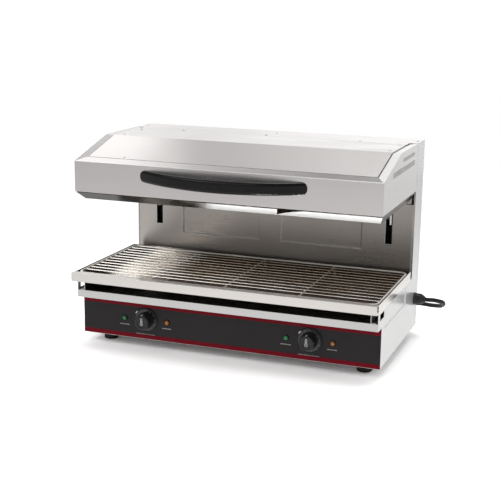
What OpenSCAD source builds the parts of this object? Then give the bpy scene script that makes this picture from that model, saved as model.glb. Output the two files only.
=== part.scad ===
// Lift salamander (cheese melter): a heated head on a rear column moves up and
// down over a pull-out pan with a wire rack. Units are millimetres, +Z is up.
// Inside the modules X is the width, Y = 0 is the face of the control panel
// (+Y towards the back) and Z = 0 is the surface that the feet stand on.

/* [Overall] */
// Width of the body
body_w = 800; // [600:1:1000]
// Depth from the control panel to the back of the column
base_d = 413; // [360:1:500]
// Height from the table to the top of the head
total_h = 533; // [490:1:640]
// Thickness of the outer sheet metal
sheet_t = 1.5; // [1:0.1:2]

/* [Base] */
// Height of the rubber feet
foot_h = 26; // [15:1:45]
// Diameter of a foot
foot_d = 38; // [24:1:50]
// Distance of a foot's axis from the side of the body
foot_inset_x = 51; // [30:1:90]
// Distance of a foot's axis from the front and the back of the body
foot_inset_y = 54; // [30:1:90]
// Height of the base's side walls
base_h = 148; // [130:1:180]
// Height of the deck's top above the bottom of the base
deck_h = 123; // [100:1:130]
// Height of the deck's front lip
lip_h = 19; // [12:1:30]
// How far the deck's lip stands ahead of the control panel
lip_out = 33; // [20:1:50]
// Width of the channel between a side wall and its tray guide
guide_w = 20; // [14:1:40]
// Depth of the pressed recess in the side walls
press_depth = 1.6; // [0.5:0.1:2]

/* [Column] */
// Depth of the rear column
column_d = 84; // [76:1:120]
// Width of the folded edges beside the column's front panels
column_edge = 4; // [2:0.5:12]
// Open gap on each side of the upper panel
upper_gap = 6.5; // [2:0.5:12]
// Depth of the pressed recesses in the lower front panel
panel_press = 3; // [1:0.5:5]
// Height of the joint between the lower and the upper front panel
panel_joint_h = 371; // [330:1:380]
// Diameter of the guide rods
rod_d = 16; // [10:1:20]
// Distance of the guide rods inwards from the slots
rod_off = 25; // [20:0.5:50]
// Outside diameter of the balance struts
strut_d = 22; // [16:1:28]
// Distance of the balance struts inwards from the guide rods
strut_off = 37.5; // [30:0.5:70]

/* [Lift] */
// How far the head comes down from its highest position
lift_travel = 120; // [80:1:120]
// Width of the slots that the arms pass through
slot_w = 18; // [12:1:24]
// Distance of the slots' centre lines from the sides of the body
slot_inset = 67.5; // [40:0.5:120]
// Height of the slots' lower ends
slot_low = 261; // [240:1:280]
// Thickness of the arm plates
arm_t = 5; // [3:0.5:8]
// Height of an arm plate where it passes through a slot
arm_h = 55; // [40:1:70]

/* [Head] */
// Height of the head's front face
face_h = 78; // [60:1:100]
// How far the head's face stands ahead of the control panel
head_out = 35; // [20:1:50]
// Height of the head from its side walls' lower edge to its top
head_h = 125; // [110:1:140]
// Depth of the sloped part, measured level
slope_run = 175; // [120:1:220]
// Width of the flanges along the sides of the slope and the top
head_flange = 22; // [15:1:35]
// How far those flanges lean in towards the cover, in degrees
flange_lean = 6; // [0:0.5:8]
// Depth of the folded ledge at the foot of the slope
ledge_d = 31; // [15:1:45]
// Depth of the rear flange on top of the head
rear_flange = 28; // [15:1:50]
// Open seam around the top cover
cover_gap = 1.5; // [0.8:0.1:3]
// Clear space between the head and the column
head_gap = 1.7; // [1:0.1:4]
// Height of the tapered skirt under the head
skirt_h = 23; // [12:1:35]
// How far the skirt tapers in at the front
skirt_in_front = 33; // [15:1:50]
// How far the skirt tapers in at each side and at the back
skirt_in = 12; // [6:1:20]
// Width of the turned-in rim at the bottom of the skirt
skirt_rim = 12; // [8:1:20]
// Height of the open joint between the head and the skirt
skirt_joint = 2; // [1:0.5:3]
// Height of the reflector above the skirt's rim
reflector_h = 53; // [45:1:60]

/* [Handle] */
// Distance between the ends of the handle
handle_w = 434; // [300:1:500]
// Height of the handle's section
handle_h = 32; // [22:1:38]
// Thickness of the handle's section
handle_t = 16; // [12:1:22]
// How far the handle stands out at its middle
handle_out = 50; // [40:1:60]
// Height of the handle's ends above the head's lower edge
handle_z = 51; // [30:1:60]
// How far the handle drops towards its middle, in degrees
handle_droop = 5; // [0:0.5:10]

/* [Pan] */
// How far the pan's front lip stands ahead of the control panel
pan_out = 62; // [50:1:75]
// Depth of the hollow grip along the pan's front
grip_d = 17; // [14:1:24]
// Height of the pan's front lip
grip_h = 22; // [16:1:28]
// Height of the pan's walls
pan_h = 26; // [22:1:32]
// Overhang of the pan past each side of the body
pan_over = 2; // [0:0.5:4]
// Thickness of the pan's sheet
pan_t = 1.2; // [0.8:0.1:1.5]
// Height of the pan's bottom over the guides
pan_clear = 0.3; // [0.2:0.1:1]
// How far the pan pulls out
pan_travel = 260; // [200:1:280]

/* [Rack] */
// Diameter of the rack's frame wire
frame_d = 6; // [4:0.5:8]
// Diameter of the rack's grill wires
wire_d = 4.5; // [3:0.5:6]
// Diameter of the cross rods under the wires
cross_d = 5; // [4:0.5:7]
// Distance between the grill wires
wire_pitch = 26.5; // [15:0.5:40]
// Distance between the cross rods
cross_pitch = 197; // [120:1:260]
// Clearance between the rack and the pan
rack_clear = 4; // [2:0.5:8]
// Radius of the frame's corners
rack_r = 18; // [12:1:40]

/* [Controls] */
// Distance of the knobs from the middle
knob_x = 221; // [150:1:300]
// Height of the knobs above the bottom of the base
knob_h = 51.5; // [40:0.5:60]
// Diameter of a knob
knob_d = 43; // [30:1:50]
// Length of a knob
knob_l = 25; // [15:1:35]
// Diameter of the dial behind a knob
bezel_d = 66; // [54:1:76]
// Diameter of a thermostat's spindle
spindle_d = 6; // [5:0.5:8]
// Diameter of a thermostat's threaded neck
neck_d = 10; // [9:0.5:12]
// Distance of the pilot lamps from their knob
lamp_off = 60; // [45:1:80]
// Diameter of a pilot lamp's ring
lamp_d = 16; // [10:1:18]
// Width of the ring around a pilot lamp's lens
lamp_rim = 1.5; // [1:0.1:2.5]
// Height of the red stripe along the panel's bottom
stripe_low_h = 12; // [6:1:16]
// Height of the red stripe along the panel's top
stripe_top_h = 19; // [10:1:24]

/* [Heating elements] */
// Diameter of an element's tube
element_d = 8; // [6:0.5:10]
// Number of straight runs in each element
element_runs = 6; // [4:2:8]
// Distance of the outer runs from the reflector's walls
run_margin = 28; // [20:1:50]
// Height of the elements above the skirt's rim
element_h = 18; // [12:1:24]

/* [Mains lead] */
// Diameter of the lead
cord_d = 11.5; // [8:0.5:12]
// Diameter of the gland
gland_d = 32; // [24:1:36]
// Length of the gland outside the wall
gland_l = 30; // [20:1:40]
// Distance of the gland from the back of the column
gland_back = 41; // [30:1:45]
// Height of the gland above the bottom of the base
gland_h = 82; // [60:1:100]

/* [Hidden] */

$fn = 64;
fit = 0.3;            // clearance where a fixed piece passes through another
run_fit = 0.05;       // radial clearance of a running fit
half_w = body_w / 2;
inner_x = half_w - sheet_t;
bottom_z = foot_h;
rim_z = foot_h + base_h;
deck_z = foot_h + deck_h;
lip_z = deck_z - lip_h;
col_y = base_d - column_d;
back_y = base_d - sheet_t;
lift_y = col_y + column_d / 2;
slot_x = half_w - slot_inset;
rod_x = slot_x - rod_off;
strut_x = rod_x - strut_off;
edge_x = half_w - column_edge;
upper_x = edge_x - upper_gap;
press_y = [28, col_y - 67];
press_z = [foot_h + deck_h - 28, foot_h + base_h - 11];
top_z = total_h - sheet_t;
notch_y = [-19, 23];  // finger notch in the side walls, under the pan
notch_z = [rim_z - 21, rim_z - 5];
flange = 12;          // usual width of a folded edge that screws or spot welds go through
foot_stud = 4;        // radius of the stud that holds a foot

head_z = total_h - head_h;
face_top = head_z + face_h;
head_y0 = -head_out;
head_y1 = col_y - head_gap;
slope_y = head_y0 + slope_run;
slope_rate = (total_h - face_top) / slope_run;
cover_x = half_w - head_flange - cover_gap;
ledge_y = head_y0 + ledge_d;
under_in = cover_x - 3.5;  // inner edge of the side flanges, under the cover
rest_w = 22;          // strip under the cover's edges
lean_drop = head_flange * tan(flange_lean) + sheet_t / cos(flange_lean);
joint_in = 4;         // how far the skirt's neck is set back
neck_w = 6;           // width of the skirt's neck
vent_w = 5;
vent_pitch = 12;
skirt_z = head_z - skirt_h;
skirt_y0 = head_y0 + skirt_in_front;
skirt_y1 = head_y1 - skirt_in;
skirt_x = half_w - skirt_in;
rim_x = skirt_x - skirt_rim;
rim_top = skirt_z + sheet_t;
reflector_t = 1.2;
reflector_x = rim_x + skirt_rim / 2;
reflector_y0 = skirt_y0 + skirt_rim / 2;
reflector_y1 = skirt_y1 - skirt_rim / 2;
reflector_z = rim_top + reflector_h;
mid_y = (reflector_y0 + reflector_y1) / 2;
run_pitch = (reflector_y1 - reflector_y0 - 2 * run_margin) / (element_runs - 1);

element_z = rim_top + element_h;
element_x0 = 20;      // inner end of an element from the middle
element_x1 = reflector_x - 24;
lead_r = 15;          // bend radius where an element turns up to its terminal
lead_top = reflector_z + 16;
hanger_x = [element_x0 + 90, element_x1 - 88];
hanger_t = 1.5;

arm_z = head_z + 7;   // lower edge of an arm where it passes through a slot
arm_top = arm_z + arm_h;
arm_x = slot_x + 0.5; // inner face of an arm plate
arm_flange = 35;      // width of the plate that is bolted to the head
web_z = arm_z - 103;  // lower end of the carriage plate
sleeve_d = rod_d + 14;
sleeve_h = 30;
lug_h = 8;
sleeve_z = web_z + 6;
bore_floor = 13;      // solid bottom of a strut cylinder
strut_rod_d = 10;
strut_rod_z = bottom_z + sheet_t + bore_floor + lift_travel + 5;
strut_top = sleeve_z - lift_travel - 8;
brace_z = top_z - 20;
brace_reach = 26;     // how far the brace reaches ahead of the rods' axes

plan_y = (base_d - head_out - handle_out) / 2;

pan_x = half_w + pan_over;
pan_z = rim_z + pan_clear;
pan_y0 = grip_d - pan_out;
pan_y1 = col_y - 29;
pan_top = pan_z + pan_h;
pan_in_x = pan_x - pan_t;
frame_x = pan_in_x - rack_clear - frame_d / 2;
frame_y0 = pan_y0 + pan_t + rack_clear + frame_d / 2;
frame_y1 = pan_y1 - pan_t - rack_clear - frame_d / 2;
frame_z = pan_top - 1 - frame_d / 2;
weld = 0.5;           // how far welded wires sink into each other
cross_z = frame_z - (frame_d + cross_d) / 2 + weld;
wire_z = cross_z + (wire_d + cross_d) / 2 - weld;
leg_z = pan_z + pan_t + fit;
leg_r = 4.5;          // bend where a cross rod turns down into its leg
leg_out = 3.5;        // how far a leg stands past the frame wire
wire_y0 = frame_y0 + 39;
wires = floor((frame_y1 - wire_y0 - 12) / wire_pitch);
rods_half = floor((frame_x - 60) / cross_pitch);

knob_z = bottom_z + knob_h;
bezel_t = 2.5;
bezel_rim = 1.5;
knob_back = bezel_t + 0.5;
knob_bore = 14;       // depth of the spindle's hole in a knob
lamp_r = lamp_d / 2 - lamp_rim;
lamp_wall = 0.7;      // wall of a lamp's housing behind the panel
thermostat_l = 30;
spindle_in = 16;      // how far a spindle reaches behind the panel

gland_y = base_d - gland_back;
gland_z = bottom_z + gland_h;
gland_neck = 10;      // radius of the gland where it passes through the wall
cord_r = cord_d / 2;
cord_from = [half_w + gland_l, gland_y, gland_z];
// Where the lead goes from the gland's mouth: right, back and down
cord_steps = [
  [0, 0, 0], [5, 0, 0], [10, 0, 0], [17, 1, 0], [26, 5, 1], [36, 14, 5], [43, 26, 10], [43, 42, 20],
  [34, 57, 29], [19, 70, 34], [0, 80, 37], [-22, 88, 38], [-47, 93, 41], [-76, 94, 52], [-106, 90, 68],
  [-136, 83, 85], [-166, 75, 98], [-198, 70, 103], [-230, 69, 103]
];
cord_route = [for (p = cord_steps)
  [cord_from[0] + p[0], cord_from[1] + p[1], max(cord_r, cord_from[2] - p[2])]];
coil_r = 55;          // radius at the middle of the turns
cord_end = cord_route[len(cord_route) - 1];
coil_at = [cord_end[0], cord_end[1] + coil_r + cord_r];
// Two turns lie on the table and a third on top, which the lead leaves towards the plug
top_turn_z = cord_r + 0.87 * cord_d;
plug_r = 18;
plug_l = 76;
pin_at = [9.5, plug_l - 8, 4.8, 27];  // a pin's distance from the axis, start, diameter and length
lead_from = [coil_at[0], coil_at[1] - coil_r, top_turn_z];
lead_steps = [[0, 0], [-18, 0], [-36, 1], [-54, 3], [-72, 4], [-84, 4], [-96, 4]];
lead_route = [for (i = [0:len(lead_steps) - 1])
  lead_from + [lead_steps[i][0], lead_steps[i][1], (plug_r - top_turn_z) * min(1, i / 4)]];
plug_at = lead_route[len(lead_route) - 1];

steel = [0.80, 0.80, 0.79];
dark_steel = [0.55, 0.54, 0.52];
bright = [0.88, 0.88, 0.88];
black = [0.10, 0.10, 0.11];
rubber = [0.06, 0.06, 0.06];
red = [0.50, 0.04, 0.12];

// ---------- shared shapes ----------

// The library frame stands on the middle of the body's footprint
module placed() translate([0, -plan_y, 0]) children();

// A profile drawn in Y and Z, extruded across the width from x0 to x1
module across(x0, x1) translate([x0, 0, 0]) rotate([90, 0, 90]) linear_extrude(x1 - x0) children();

// A profile drawn in X and Z, extruded from y0 back to y1
module along(y0, y1) translate([0, y1, 0]) rotate([90, 0, 0]) linear_extrude(y1 - y0) children();

module both_sides() {
  children();
  mirror([1, 0, 0]) children();
}

module block(low, high) translate(low) cube(high - low);

// A pressed dish on the XY plane: it sinks by its depth and its walls lean in just as far
module dish(x0, x1, y0, y1, depth) intersection() {
  translate([0, y1, 0]) rotate([90, 0, 0]) linear_extrude(y1 - y0)
    polygon([[x0, 0], [x1, 0], [x1 - depth, -depth], [x0 + depth, -depth]]);
  across(x0, x1) polygon([[y0, 0], [y1, 0], [y1 - depth, -depth], [y0 + depth, -depth]]);
}

// A turned piece whose profile has radius and distance ahead of the panel
module turned_forward(at) translate(at) rotate([90, 0, 0]) rotate_extrude() children();

function unit(v) = v / norm(v);
function side_of(a, b) = let (d = unit(b - a)) [-d[1], d[0]];
function thick_point(p, i, t) =
  i == 0 ? p[0] + t * side_of(p[0], p[1]) :
  i == len(p) - 1 ? p[i] + t * side_of(p[i - 1], p[i]) :
  let (n0 = side_of(p[i - 1], p[i]), n1 = side_of(p[i], p[i + 1]))
  p[i] + t * (n0 + n1) / (1 + n0 * n1);

// The section of a folded sheet: its outer face follows the points, and the
// metal lies to their left (positive t) or right (negative t)
module fold(points, t) {
  inner = [for (i = [len(points) - 1:-1:0]) thick_point(points, i, t)];
  polygon(concat(points, inner));
}

// ---------- base ----------

module side_outline() polygon([
  [sheet_t, bottom_z], [back_y, bottom_z], [back_y, top_z], [col_y, top_z], [col_y, rim_z],
  [-lip_out, rim_z], [-lip_out, lip_z], [sheet_t, lip_z]
]);

// The dish pressed into a side wall, grown by the thickness of the metal
module pressed_side(x, grow) translate([x, 0, 0]) rotate([0, 90, 0])
  dish(-press_z[1] - grow, grow - press_z[0], press_y[0] - grow, press_y[1] + grow, press_depth);

module side_panel() {
  difference() {
    union() {
      across(inner_x, half_w) side_outline();
      block([edge_x, col_y, rim_z], [half_w, col_y + sheet_t, top_z]);
      pressed_side(inner_x, sheet_t);
    }
    pressed_side(half_w, 0);
    // finger notch under the pan
    block([inner_x - 5, notch_y[0], notch_z[0]], [half_w + 1, notch_y[1], notch_z[1]]);
  }
}

module side_panel_left() color(steel) placed() mirror([1, 0, 0]) side_panel();

module side_panel_right() color(steel) placed() difference() {
  side_panel();
  translate([inner_x - 5, gland_y, gland_z]) rotate([0, 90, 0])
    cylinder(r = gland_neck + fit, h = 20);
}

module foot_places() for (x = [-1, 1], y = [foot_inset_y, base_d - foot_inset_y])
  translate([x * (half_w - foot_inset_x), y, 0]) children();

module base_plate() color(steel) placed() difference() {
  along(sheet_t, back_y) fold([
    [-inner_x, bottom_z + flange], [-inner_x, bottom_z], [inner_x, bottom_z],
    [inner_x, bottom_z + flange]
  ], sheet_t);
  foot_places() translate([0, 0, bottom_z - 1]) cylinder(r = foot_stud + fit, h = sheet_t + 2);
  // cooling slots under the controls
  slots = 10;
  slot = [5, 60, sheet_t + 2];
  for (side = [-1, 1], i = [0:slots - 1])
    translate([side * knob_x + (i - (slots - 1) / 2) * 12 - slot[0] / 2, 60, bottom_z - 1]) cube(slot);
}

module control_panel() color(black) placed() difference() {
  union() {
    block([-half_w, 0, bottom_z], [half_w, sheet_t, lip_z]);
    both_sides() block([inner_x - sheet_t, sheet_t, bottom_z + flange + 2],
                       [inner_x, flange, lip_z - 2]);
  }
  for (side = [-1, 1]) {
    translate([side * knob_x, -1, knob_z]) rotate([-90, 0, 0]) cylinder(d = neck_d + 2 * fit, h = 4);
    for (lamp = [-1, 1])
      translate([side * knob_x + lamp * lamp_off, -1, knob_z]) rotate([-90, 0, 0])
        cylinder(r = lamp_r + lamp_wall + fit, h = 4);
  }
}

module panel_stripes() color(red) placed() difference() {
  stripe_t = 0.3;
  union() {
    block([-half_w, -stripe_t, bottom_z], [half_w, 0, bottom_z + stripe_low_h]);
    block([-half_w, -stripe_t, lip_z - stripe_top_h], [half_w, 0, lip_z]);
  }
  // they stop short of the dials
  both_sides() translate([knob_x, 1, knob_z]) rotate([90, 0, 0]) cylinder(d = bezel_d + 1, h = 3);
}

module deck() color(steel) placed() difference() {
  across(-inner_x, inner_x) fold([
    [flange, lip_z], [-lip_out, lip_z], [-lip_out, deck_z], [col_y + flange, deck_z]
  ], -sheet_t);
  // notches beside the pressed recesses of the side walls
  both_sides() block([inner_x - press_depth, press_y[0] - 2, lip_z], [half_w, press_y[1] + 2, rim_z]);
}

module tray_guides() color(dark_steel) placed() both_sides() along(2 - lip_out, col_y - 2) fold([
  [inner_x, rim_z], [half_w - guide_w, rim_z], [half_w - guide_w, deck_z],
  [half_w - guide_w + flange, deck_z]
], sheet_t);

module feet() color(rubber) placed() foot_places() rotate_extrude() polygon([
  [0, 0], [foot_d / 2 - 2.5, 0], [foot_d / 2, 2.5], [foot_d / 2, 0.55 * foot_h],
  [foot_d / 2 - 4, foot_h], [foot_stud, foot_h], [foot_stud, foot_h + 10], [0, foot_h + 10]
]);

// ---------- column ----------

module slot_cut(z0, z1) both_sides()
  block([slot_x - slot_w / 2, col_y - 5, z0], [slot_x + slot_w / 2, col_y + 10, z1]);

// A dish pressed into the lower front panel, grown by the thickness of the metal
module pressed_panel(y, grow) translate([0, y, 0]) rotate([90, 0, 0]) dish(
  31 - grow, slot_x - slot_w / 2 - 63.5 + grow, slot_low - 21 - grow, panel_joint_h - 13 + grow,
  panel_press);

module back_panel() color(dark_steel) placed() {
  difference() {
    union() {
      across(-edge_x + fit, edge_x - fit) fold([
        [col_y + flange, deck_z], [col_y, deck_z], [col_y, panel_joint_h]
      ], -sheet_t);
      both_sides() pressed_panel(col_y + sheet_t, sheet_t);
    }
    both_sides() pressed_panel(col_y, 0);
    slot_cut(slot_low, panel_joint_h + 1);
  }
}

module upper_panel() color(dark_steel) placed() difference() {
  across(-upper_x, upper_x) fold([
    [col_y, panel_joint_h + 1.5], [col_y, top_z], [col_y + flange, top_z]
  ], -sheet_t);
  slot_cut(panel_joint_h, arm_top + 14);
}

module rear_cover() color(steel) placed() difference() {
  block([-half_w, back_y, bottom_z], [half_w, base_d, top_z]);
  // vent slots low down behind the controls and high up behind the head
  slots = 12;
  slot = [6, sheet_t + 2, 40];
  for (side = [-1, 1], z = [bottom_z + 34, top_z - 34 - slot[2]], i = [0:slots - 1])
    translate([side * half_w / 2 + (i - (slots - 1) / 2) * 14 - slot[0] / 2, back_y - 1, z])
      cube(slot);
}

module column_top() color(steel) placed()
  block([-half_w, col_y, top_z], [half_w, base_d, total_h]);

module column_brace() color(dark_steel) placed() across(-inner_x, inner_x) fold([
  [lift_y - brace_reach, brace_z - flange], [lift_y - brace_reach, brace_z],
  [back_y - sheet_t, brace_z], [back_y - sheet_t, brace_z + flange]
], -sheet_t);

module guide_rods() color(bright) placed() both_sides() {
  low = bottom_z + sheet_t;
  translate([rod_x, lift_y, low]) cylinder(d = rod_d, h = brace_z - sheet_t - low);
}

module strut_cylinders() color(black) placed() both_sides() {
  low = bottom_z + sheet_t;
  translate([strut_x, lift_y, low]) difference() {
    cylinder(d = strut_d, h = strut_top - low);
    translate([0, 0, bore_floor]) cylinder(r = strut_rod_d / 2 + run_fit, h = strut_top);
  }
}

// ---------- controls ----------

module thermostats() color(bright) placed() both_sides() {
  body = 36;
  difference() {
    union() {
      block([knob_x - body / 2, sheet_t, knob_z - body / 2],
            [knob_x + body / 2, sheet_t + thermostat_l, knob_z + body / 2]);
      translate([knob_x, -1.5, knob_z]) rotate([-90, 0, 0]) cylinder(d = neck_d, h = 5);
    }
    translate([knob_x, -5, knob_z]) rotate([-90, 0, 0])
      cylinder(r = spindle_d / 2 + run_fit, h = spindle_in + 7);
  }
}

module knob_bezels() color(black) placed() both_sides() turned_forward([knob_x, 0, knob_z])
  polygon([
    [neck_d / 2 + 1, 0], [bezel_d / 2, 0], [bezel_d / 2, bezel_t], [bezel_d / 2 - 1, bezel_t + bezel_rim],
    [bezel_d / 2 - 2, bezel_t + bezel_rim], [bezel_d / 2 - 3.5, bezel_t], [neck_d / 2 + 1, bezel_t]
  ]);

module lamp_places(lamp) for (side = [-1, 1])
  translate([side * knob_x + lamp * lamp_off, 0, knob_z]) rotate([90, 0, 0]) children();

module lamp_housings() color(black) placed() for (lamp = [-1, 1]) lamp_places(lamp)
  rotate_extrude() polygon([
    [lamp_r, -18], [lamp_r, -20], [0, -20], [0, -22], [lamp_r + lamp_wall, -22],
    [lamp_r + lamp_wall, 0], [lamp_d / 2, 0], [lamp_d / 2, 1], [lamp_d / 2 - 0.7, 2], [lamp_r, 2]
  ]);

module lamp_lens() rotate_extrude() polygon(concat(
  [[0, -18], [lamp_r, -18], [lamp_r, 2]],
  [for (a = [15:15:75]) [lamp_r * cos(a), 2 + 3 * sin(a)]],
  [[0, 5]]
));

module lamp_lenses_green() color([0.05, 0.45, 0.25]) placed() lamp_places(-1) lamp_lens();

module lamp_lenses_amber() color([0.85, 0.42, 0.08]) placed() lamp_places(1) lamp_lens();

module terminal_block() color([0.85, 0.85, 0.80]) placed() {
  low = bottom_z + sheet_t;
  poles = 5;
  pitch = 12;
  size = [poles * pitch, 26, 24];
  translate([half_w - size[0] - 30, base_d - 130, low]) difference() {
    cube(size);
    for (i = [0.5:poles - 0.5]) translate([i * pitch, -1, 13]) rotate([-90, 0, 0])
      cylinder(r = 2.6, h = size[1] + 2);
  }
}

module knob(x) turned_forward([x, 0, knob_z]) polygon(concat(
  [[spindle_d / 2, knob_back], [knob_d / 2, knob_back], [knob_d / 2, knob_back + 2.5]],
  [[knob_d / 2 - 1, knob_back + 4], [knob_d / 2 - 2, knob_back + knob_l - 2.5]],
  [for (a = [15:25:90]) [knob_d / 2 - 4.5 + 2.5 * cos(a), knob_back + knob_l - 2.5 + 2.5 * sin(a)]],
  [[0, knob_back + knob_l], [0, knob_back + knob_bore], [spindle_d / 2, knob_back + knob_bore]]
));

module knob_left() color(black) placed() knob(-knob_x);

module knob_right() color(black) placed() knob(knob_x);

module spindle(x) translate([x, spindle_in, knob_z]) rotate([90, 0, 0])
  cylinder(d = spindle_d, h = spindle_in + knob_back + knob_bore);

module spindle_left() color(bright) placed() spindle(-knob_x);

module spindle_right() color(bright) placed() spindle(knob_x);

// ---------- mains lead ----------

module cable_gland() color(rubber) placed() translate([half_w, gland_y, gland_z]) rotate([0, 90, 0])
  rotate_extrude() polygon([
    [cord_r - 1, -14], [gland_neck, -14], [gland_neck, -sheet_t - 7],
    [gland_neck + 4, -sheet_t - 7], [gland_neck + 4, -sheet_t], [gland_neck, -sheet_t],
    [gland_neck, 0], [gland_d / 2, 0], [gland_d / 2, 3], [gland_d / 2 - 1, 4],
    [gland_d / 2 - 1, gland_l - 12], [gland_d / 2 - 3, gland_l - 8], [cord_r + 2, gland_l],
    [0, gland_l], [0, gland_l - 10], [cord_r - 1, gland_l - 10]
  ]);

// Rings of points around each point of a route, square to its direction
function route_way(p, i) = unit(p[min(i + 1, len(p) - 1)] - p[max(i - 1, 0)]);
function catmull(a, b, c, d, t) =
  0.5 * (2 * b + (c - a) * t + (2 * a - 5 * b + 4 * c - d) * t * t
         + (3 * b - a - 3 * c + d) * t * t * t);
function route_smooth(p, steps) = concat(
  [for (i = [0:len(p) - 2], k = [0:steps - 1])
    catmull(p[max(i - 1, 0)], p[i], p[i + 1], p[min(i + 2, len(p) - 1)], k / steps)],
  [p[len(p) - 1]]);

function ring(route, i, r, sides) =
  let (w = route_way(route, i), side = unit(cross(w, [0, 0, 1])), up = cross(side, w))
  [for (k = [0:sides - 1])
    route[i] + r * (cos(360 * k / sides) * side + sin(360 * k / sides) * up)];

module tube(route, r, sides) {
  last = len(route) - 1;
  points = [for (i = [0:last]) each ring(route, i, r, sides)];
  skin = [for (i = [0:last - 1], k = [0:sides - 1])
    let (a = i * sides + k, b = i * sides + (k + 1) % sides) [a, b, b + sides, a + sides]];
  start_cap = [for (k = [sides - 1:-1:0]) k];
  end_cap = [for (k = [0:sides - 1]) last * sides + k];
  polyhedron(points, concat([start_cap], skin, [end_cap]));
}

module power_cord() color(rubber) placed() {
  tube(route_smooth(cord_route, 2), cord_r, 10);
  tube(lead_route, cord_r, 10);
}

module cord_coil() color(rubber) placed() translate([coil_at[0], coil_at[1], 0]) rotate_extrude()
  polygon([
    [coil_r - cord_d, 0], [coil_r + cord_d, 0], [coil_r + cord_d, cord_d],
    [coil_r + cord_r, top_turn_z + cord_r], [coil_r - cord_r, top_turn_z + cord_r],
    [coil_r - cord_d, cord_d]
  ]);

module plug_body() color(rubber) placed() translate(plug_at) rotate([0, -90, 0]) difference() {
  rotate_extrude() polygon([
    [0, 0], [cord_r + 1.5, 0], [cord_r + 3.5, 30], [plug_r - 4, 40], [plug_r - 1, 50],
    [plug_r, 60], [plug_r, plug_l - 2], [plug_r - 2, plug_l], [0, plug_l]
  ]);
  plug_pair(10);
}

module plug_pair(reach) for (side = [-1, 1])
  translate([0, side * pin_at[0], pin_at[1]]) cylinder(d = pin_at[2], h = reach);

module plug_pins() color(bright) placed() translate(plug_at) rotate([0, -90, 0])
  plug_pair(pin_at[3]);

// ---------- pan and rack ----------

module pan() color(bright) placed() {
  // bottom, front wall and hooked grip in one fold
  across(-pan_x + pan_t, pan_x - pan_t) fold([
    [pan_y1, pan_top - 1], [pan_y1, pan_z], [pan_y0, pan_z], [pan_y0, pan_top - pan_t]
  ], -pan_t);
  across(-pan_x, pan_x) fold([
    [pan_y0 + pan_t, pan_top], [-pan_out, pan_top], [-pan_out, pan_top - grip_h],
    [-pan_out + 7, pan_top - grip_h]
  ], pan_t);
  both_sides() across(pan_x - pan_t, pan_x) polygon([
    [pan_y0, pan_z], [pan_y1, pan_z], [pan_y1, pan_top - 1], [pan_y0, pan_top - 1]
  ]);
}

module wire(x0, x1, y, z, d) translate([x0, y, z]) rotate([0, 90, 0]) cylinder(d = d, h = x1 - x0);

module rack_frame() color(bright) placed() union() {
  for (y = [frame_y0, frame_y1])
    wire(rack_r - frame_x, frame_x - rack_r, y, frame_z, frame_d);
  for (side = [-1, 1]) {
    translate([side * frame_x, frame_y0 + rack_r, frame_z]) rotate([-90, 0, 0])
      cylinder(d = frame_d, h = frame_y1 - frame_y0 - 2 * rack_r);
    for (end = [-1, 1]) {
      y = end < 0 ? frame_y0 + rack_r : frame_y1 - rack_r;
      translate([side * (frame_x - rack_r), y, frame_z])
        rotate([0, 0, side > 0 ? (end > 0 ? 0 : 270) : (end > 0 ? 90 : 180)])
          rotate_extrude(angle = 90) translate([rack_r, 0]) circle(d = frame_d);
    }
  }
}

module rack_wires() color(bright) placed() for (i = [0:wires]) {
  reach = frame_x - frame_d / 2 + weld;
  wire(-reach, reach, wire_y0 + i * wire_pitch, wire_z, wire_d);
}

// Each cross rod runs under the wires, and both its ends turn down into legs
module rack_rods() color(bright) placed() for (i = [-rods_half:rods_half]) {
  mid = (frame_y0 + frame_y1) / 2;
  half = (frame_y1 - frame_y0) / 2 + leg_out - leg_r;
  translate([i * cross_pitch, mid, cross_z]) union() {
    rotate([90, 0, 0]) cylinder(d = cross_d, h = 2 * half, center = true);
    for (turn = [0, 180]) rotate([0, 0, turn]) {
      translate([0, half, -leg_r]) rotate([90, 0, 90]) rotate_extrude(angle = 90)
        translate([leg_r, 0]) circle(d = cross_d);
      translate([0, half + leg_r, leg_z - cross_z]) cylinder(d = cross_d, h = cross_z - leg_r - leg_z);
    }
  }
}

// ---------- head ----------

function slope_z(y) = min(total_h, face_top + (y - head_y0) * slope_rate);

module skin(depth0, depth1, y0, y1) polygon([
  [y0, slope_z(y0) - depth0], [slope_y, total_h - depth0], [y1, total_h - depth0],
  [y1, total_h - depth1], [slope_y, total_h - depth1], [y0, slope_z(y0) - depth1]
]);

// Everything under the two leaning planes that the side flanges follow, over the slope and the top
module under_flanges(depth) translate([half_w, slope_y, total_h]) intersection() {
  reach = body_w;
  rotate([0, -flange_lean, 0]) block([-reach, -reach, -reach], [1, reach, -depth]);
  rotate([atan(slope_rate), -flange_lean, 0])
    block([-reach, -reach, -reach], [1, reach, -depth]);
}

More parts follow.
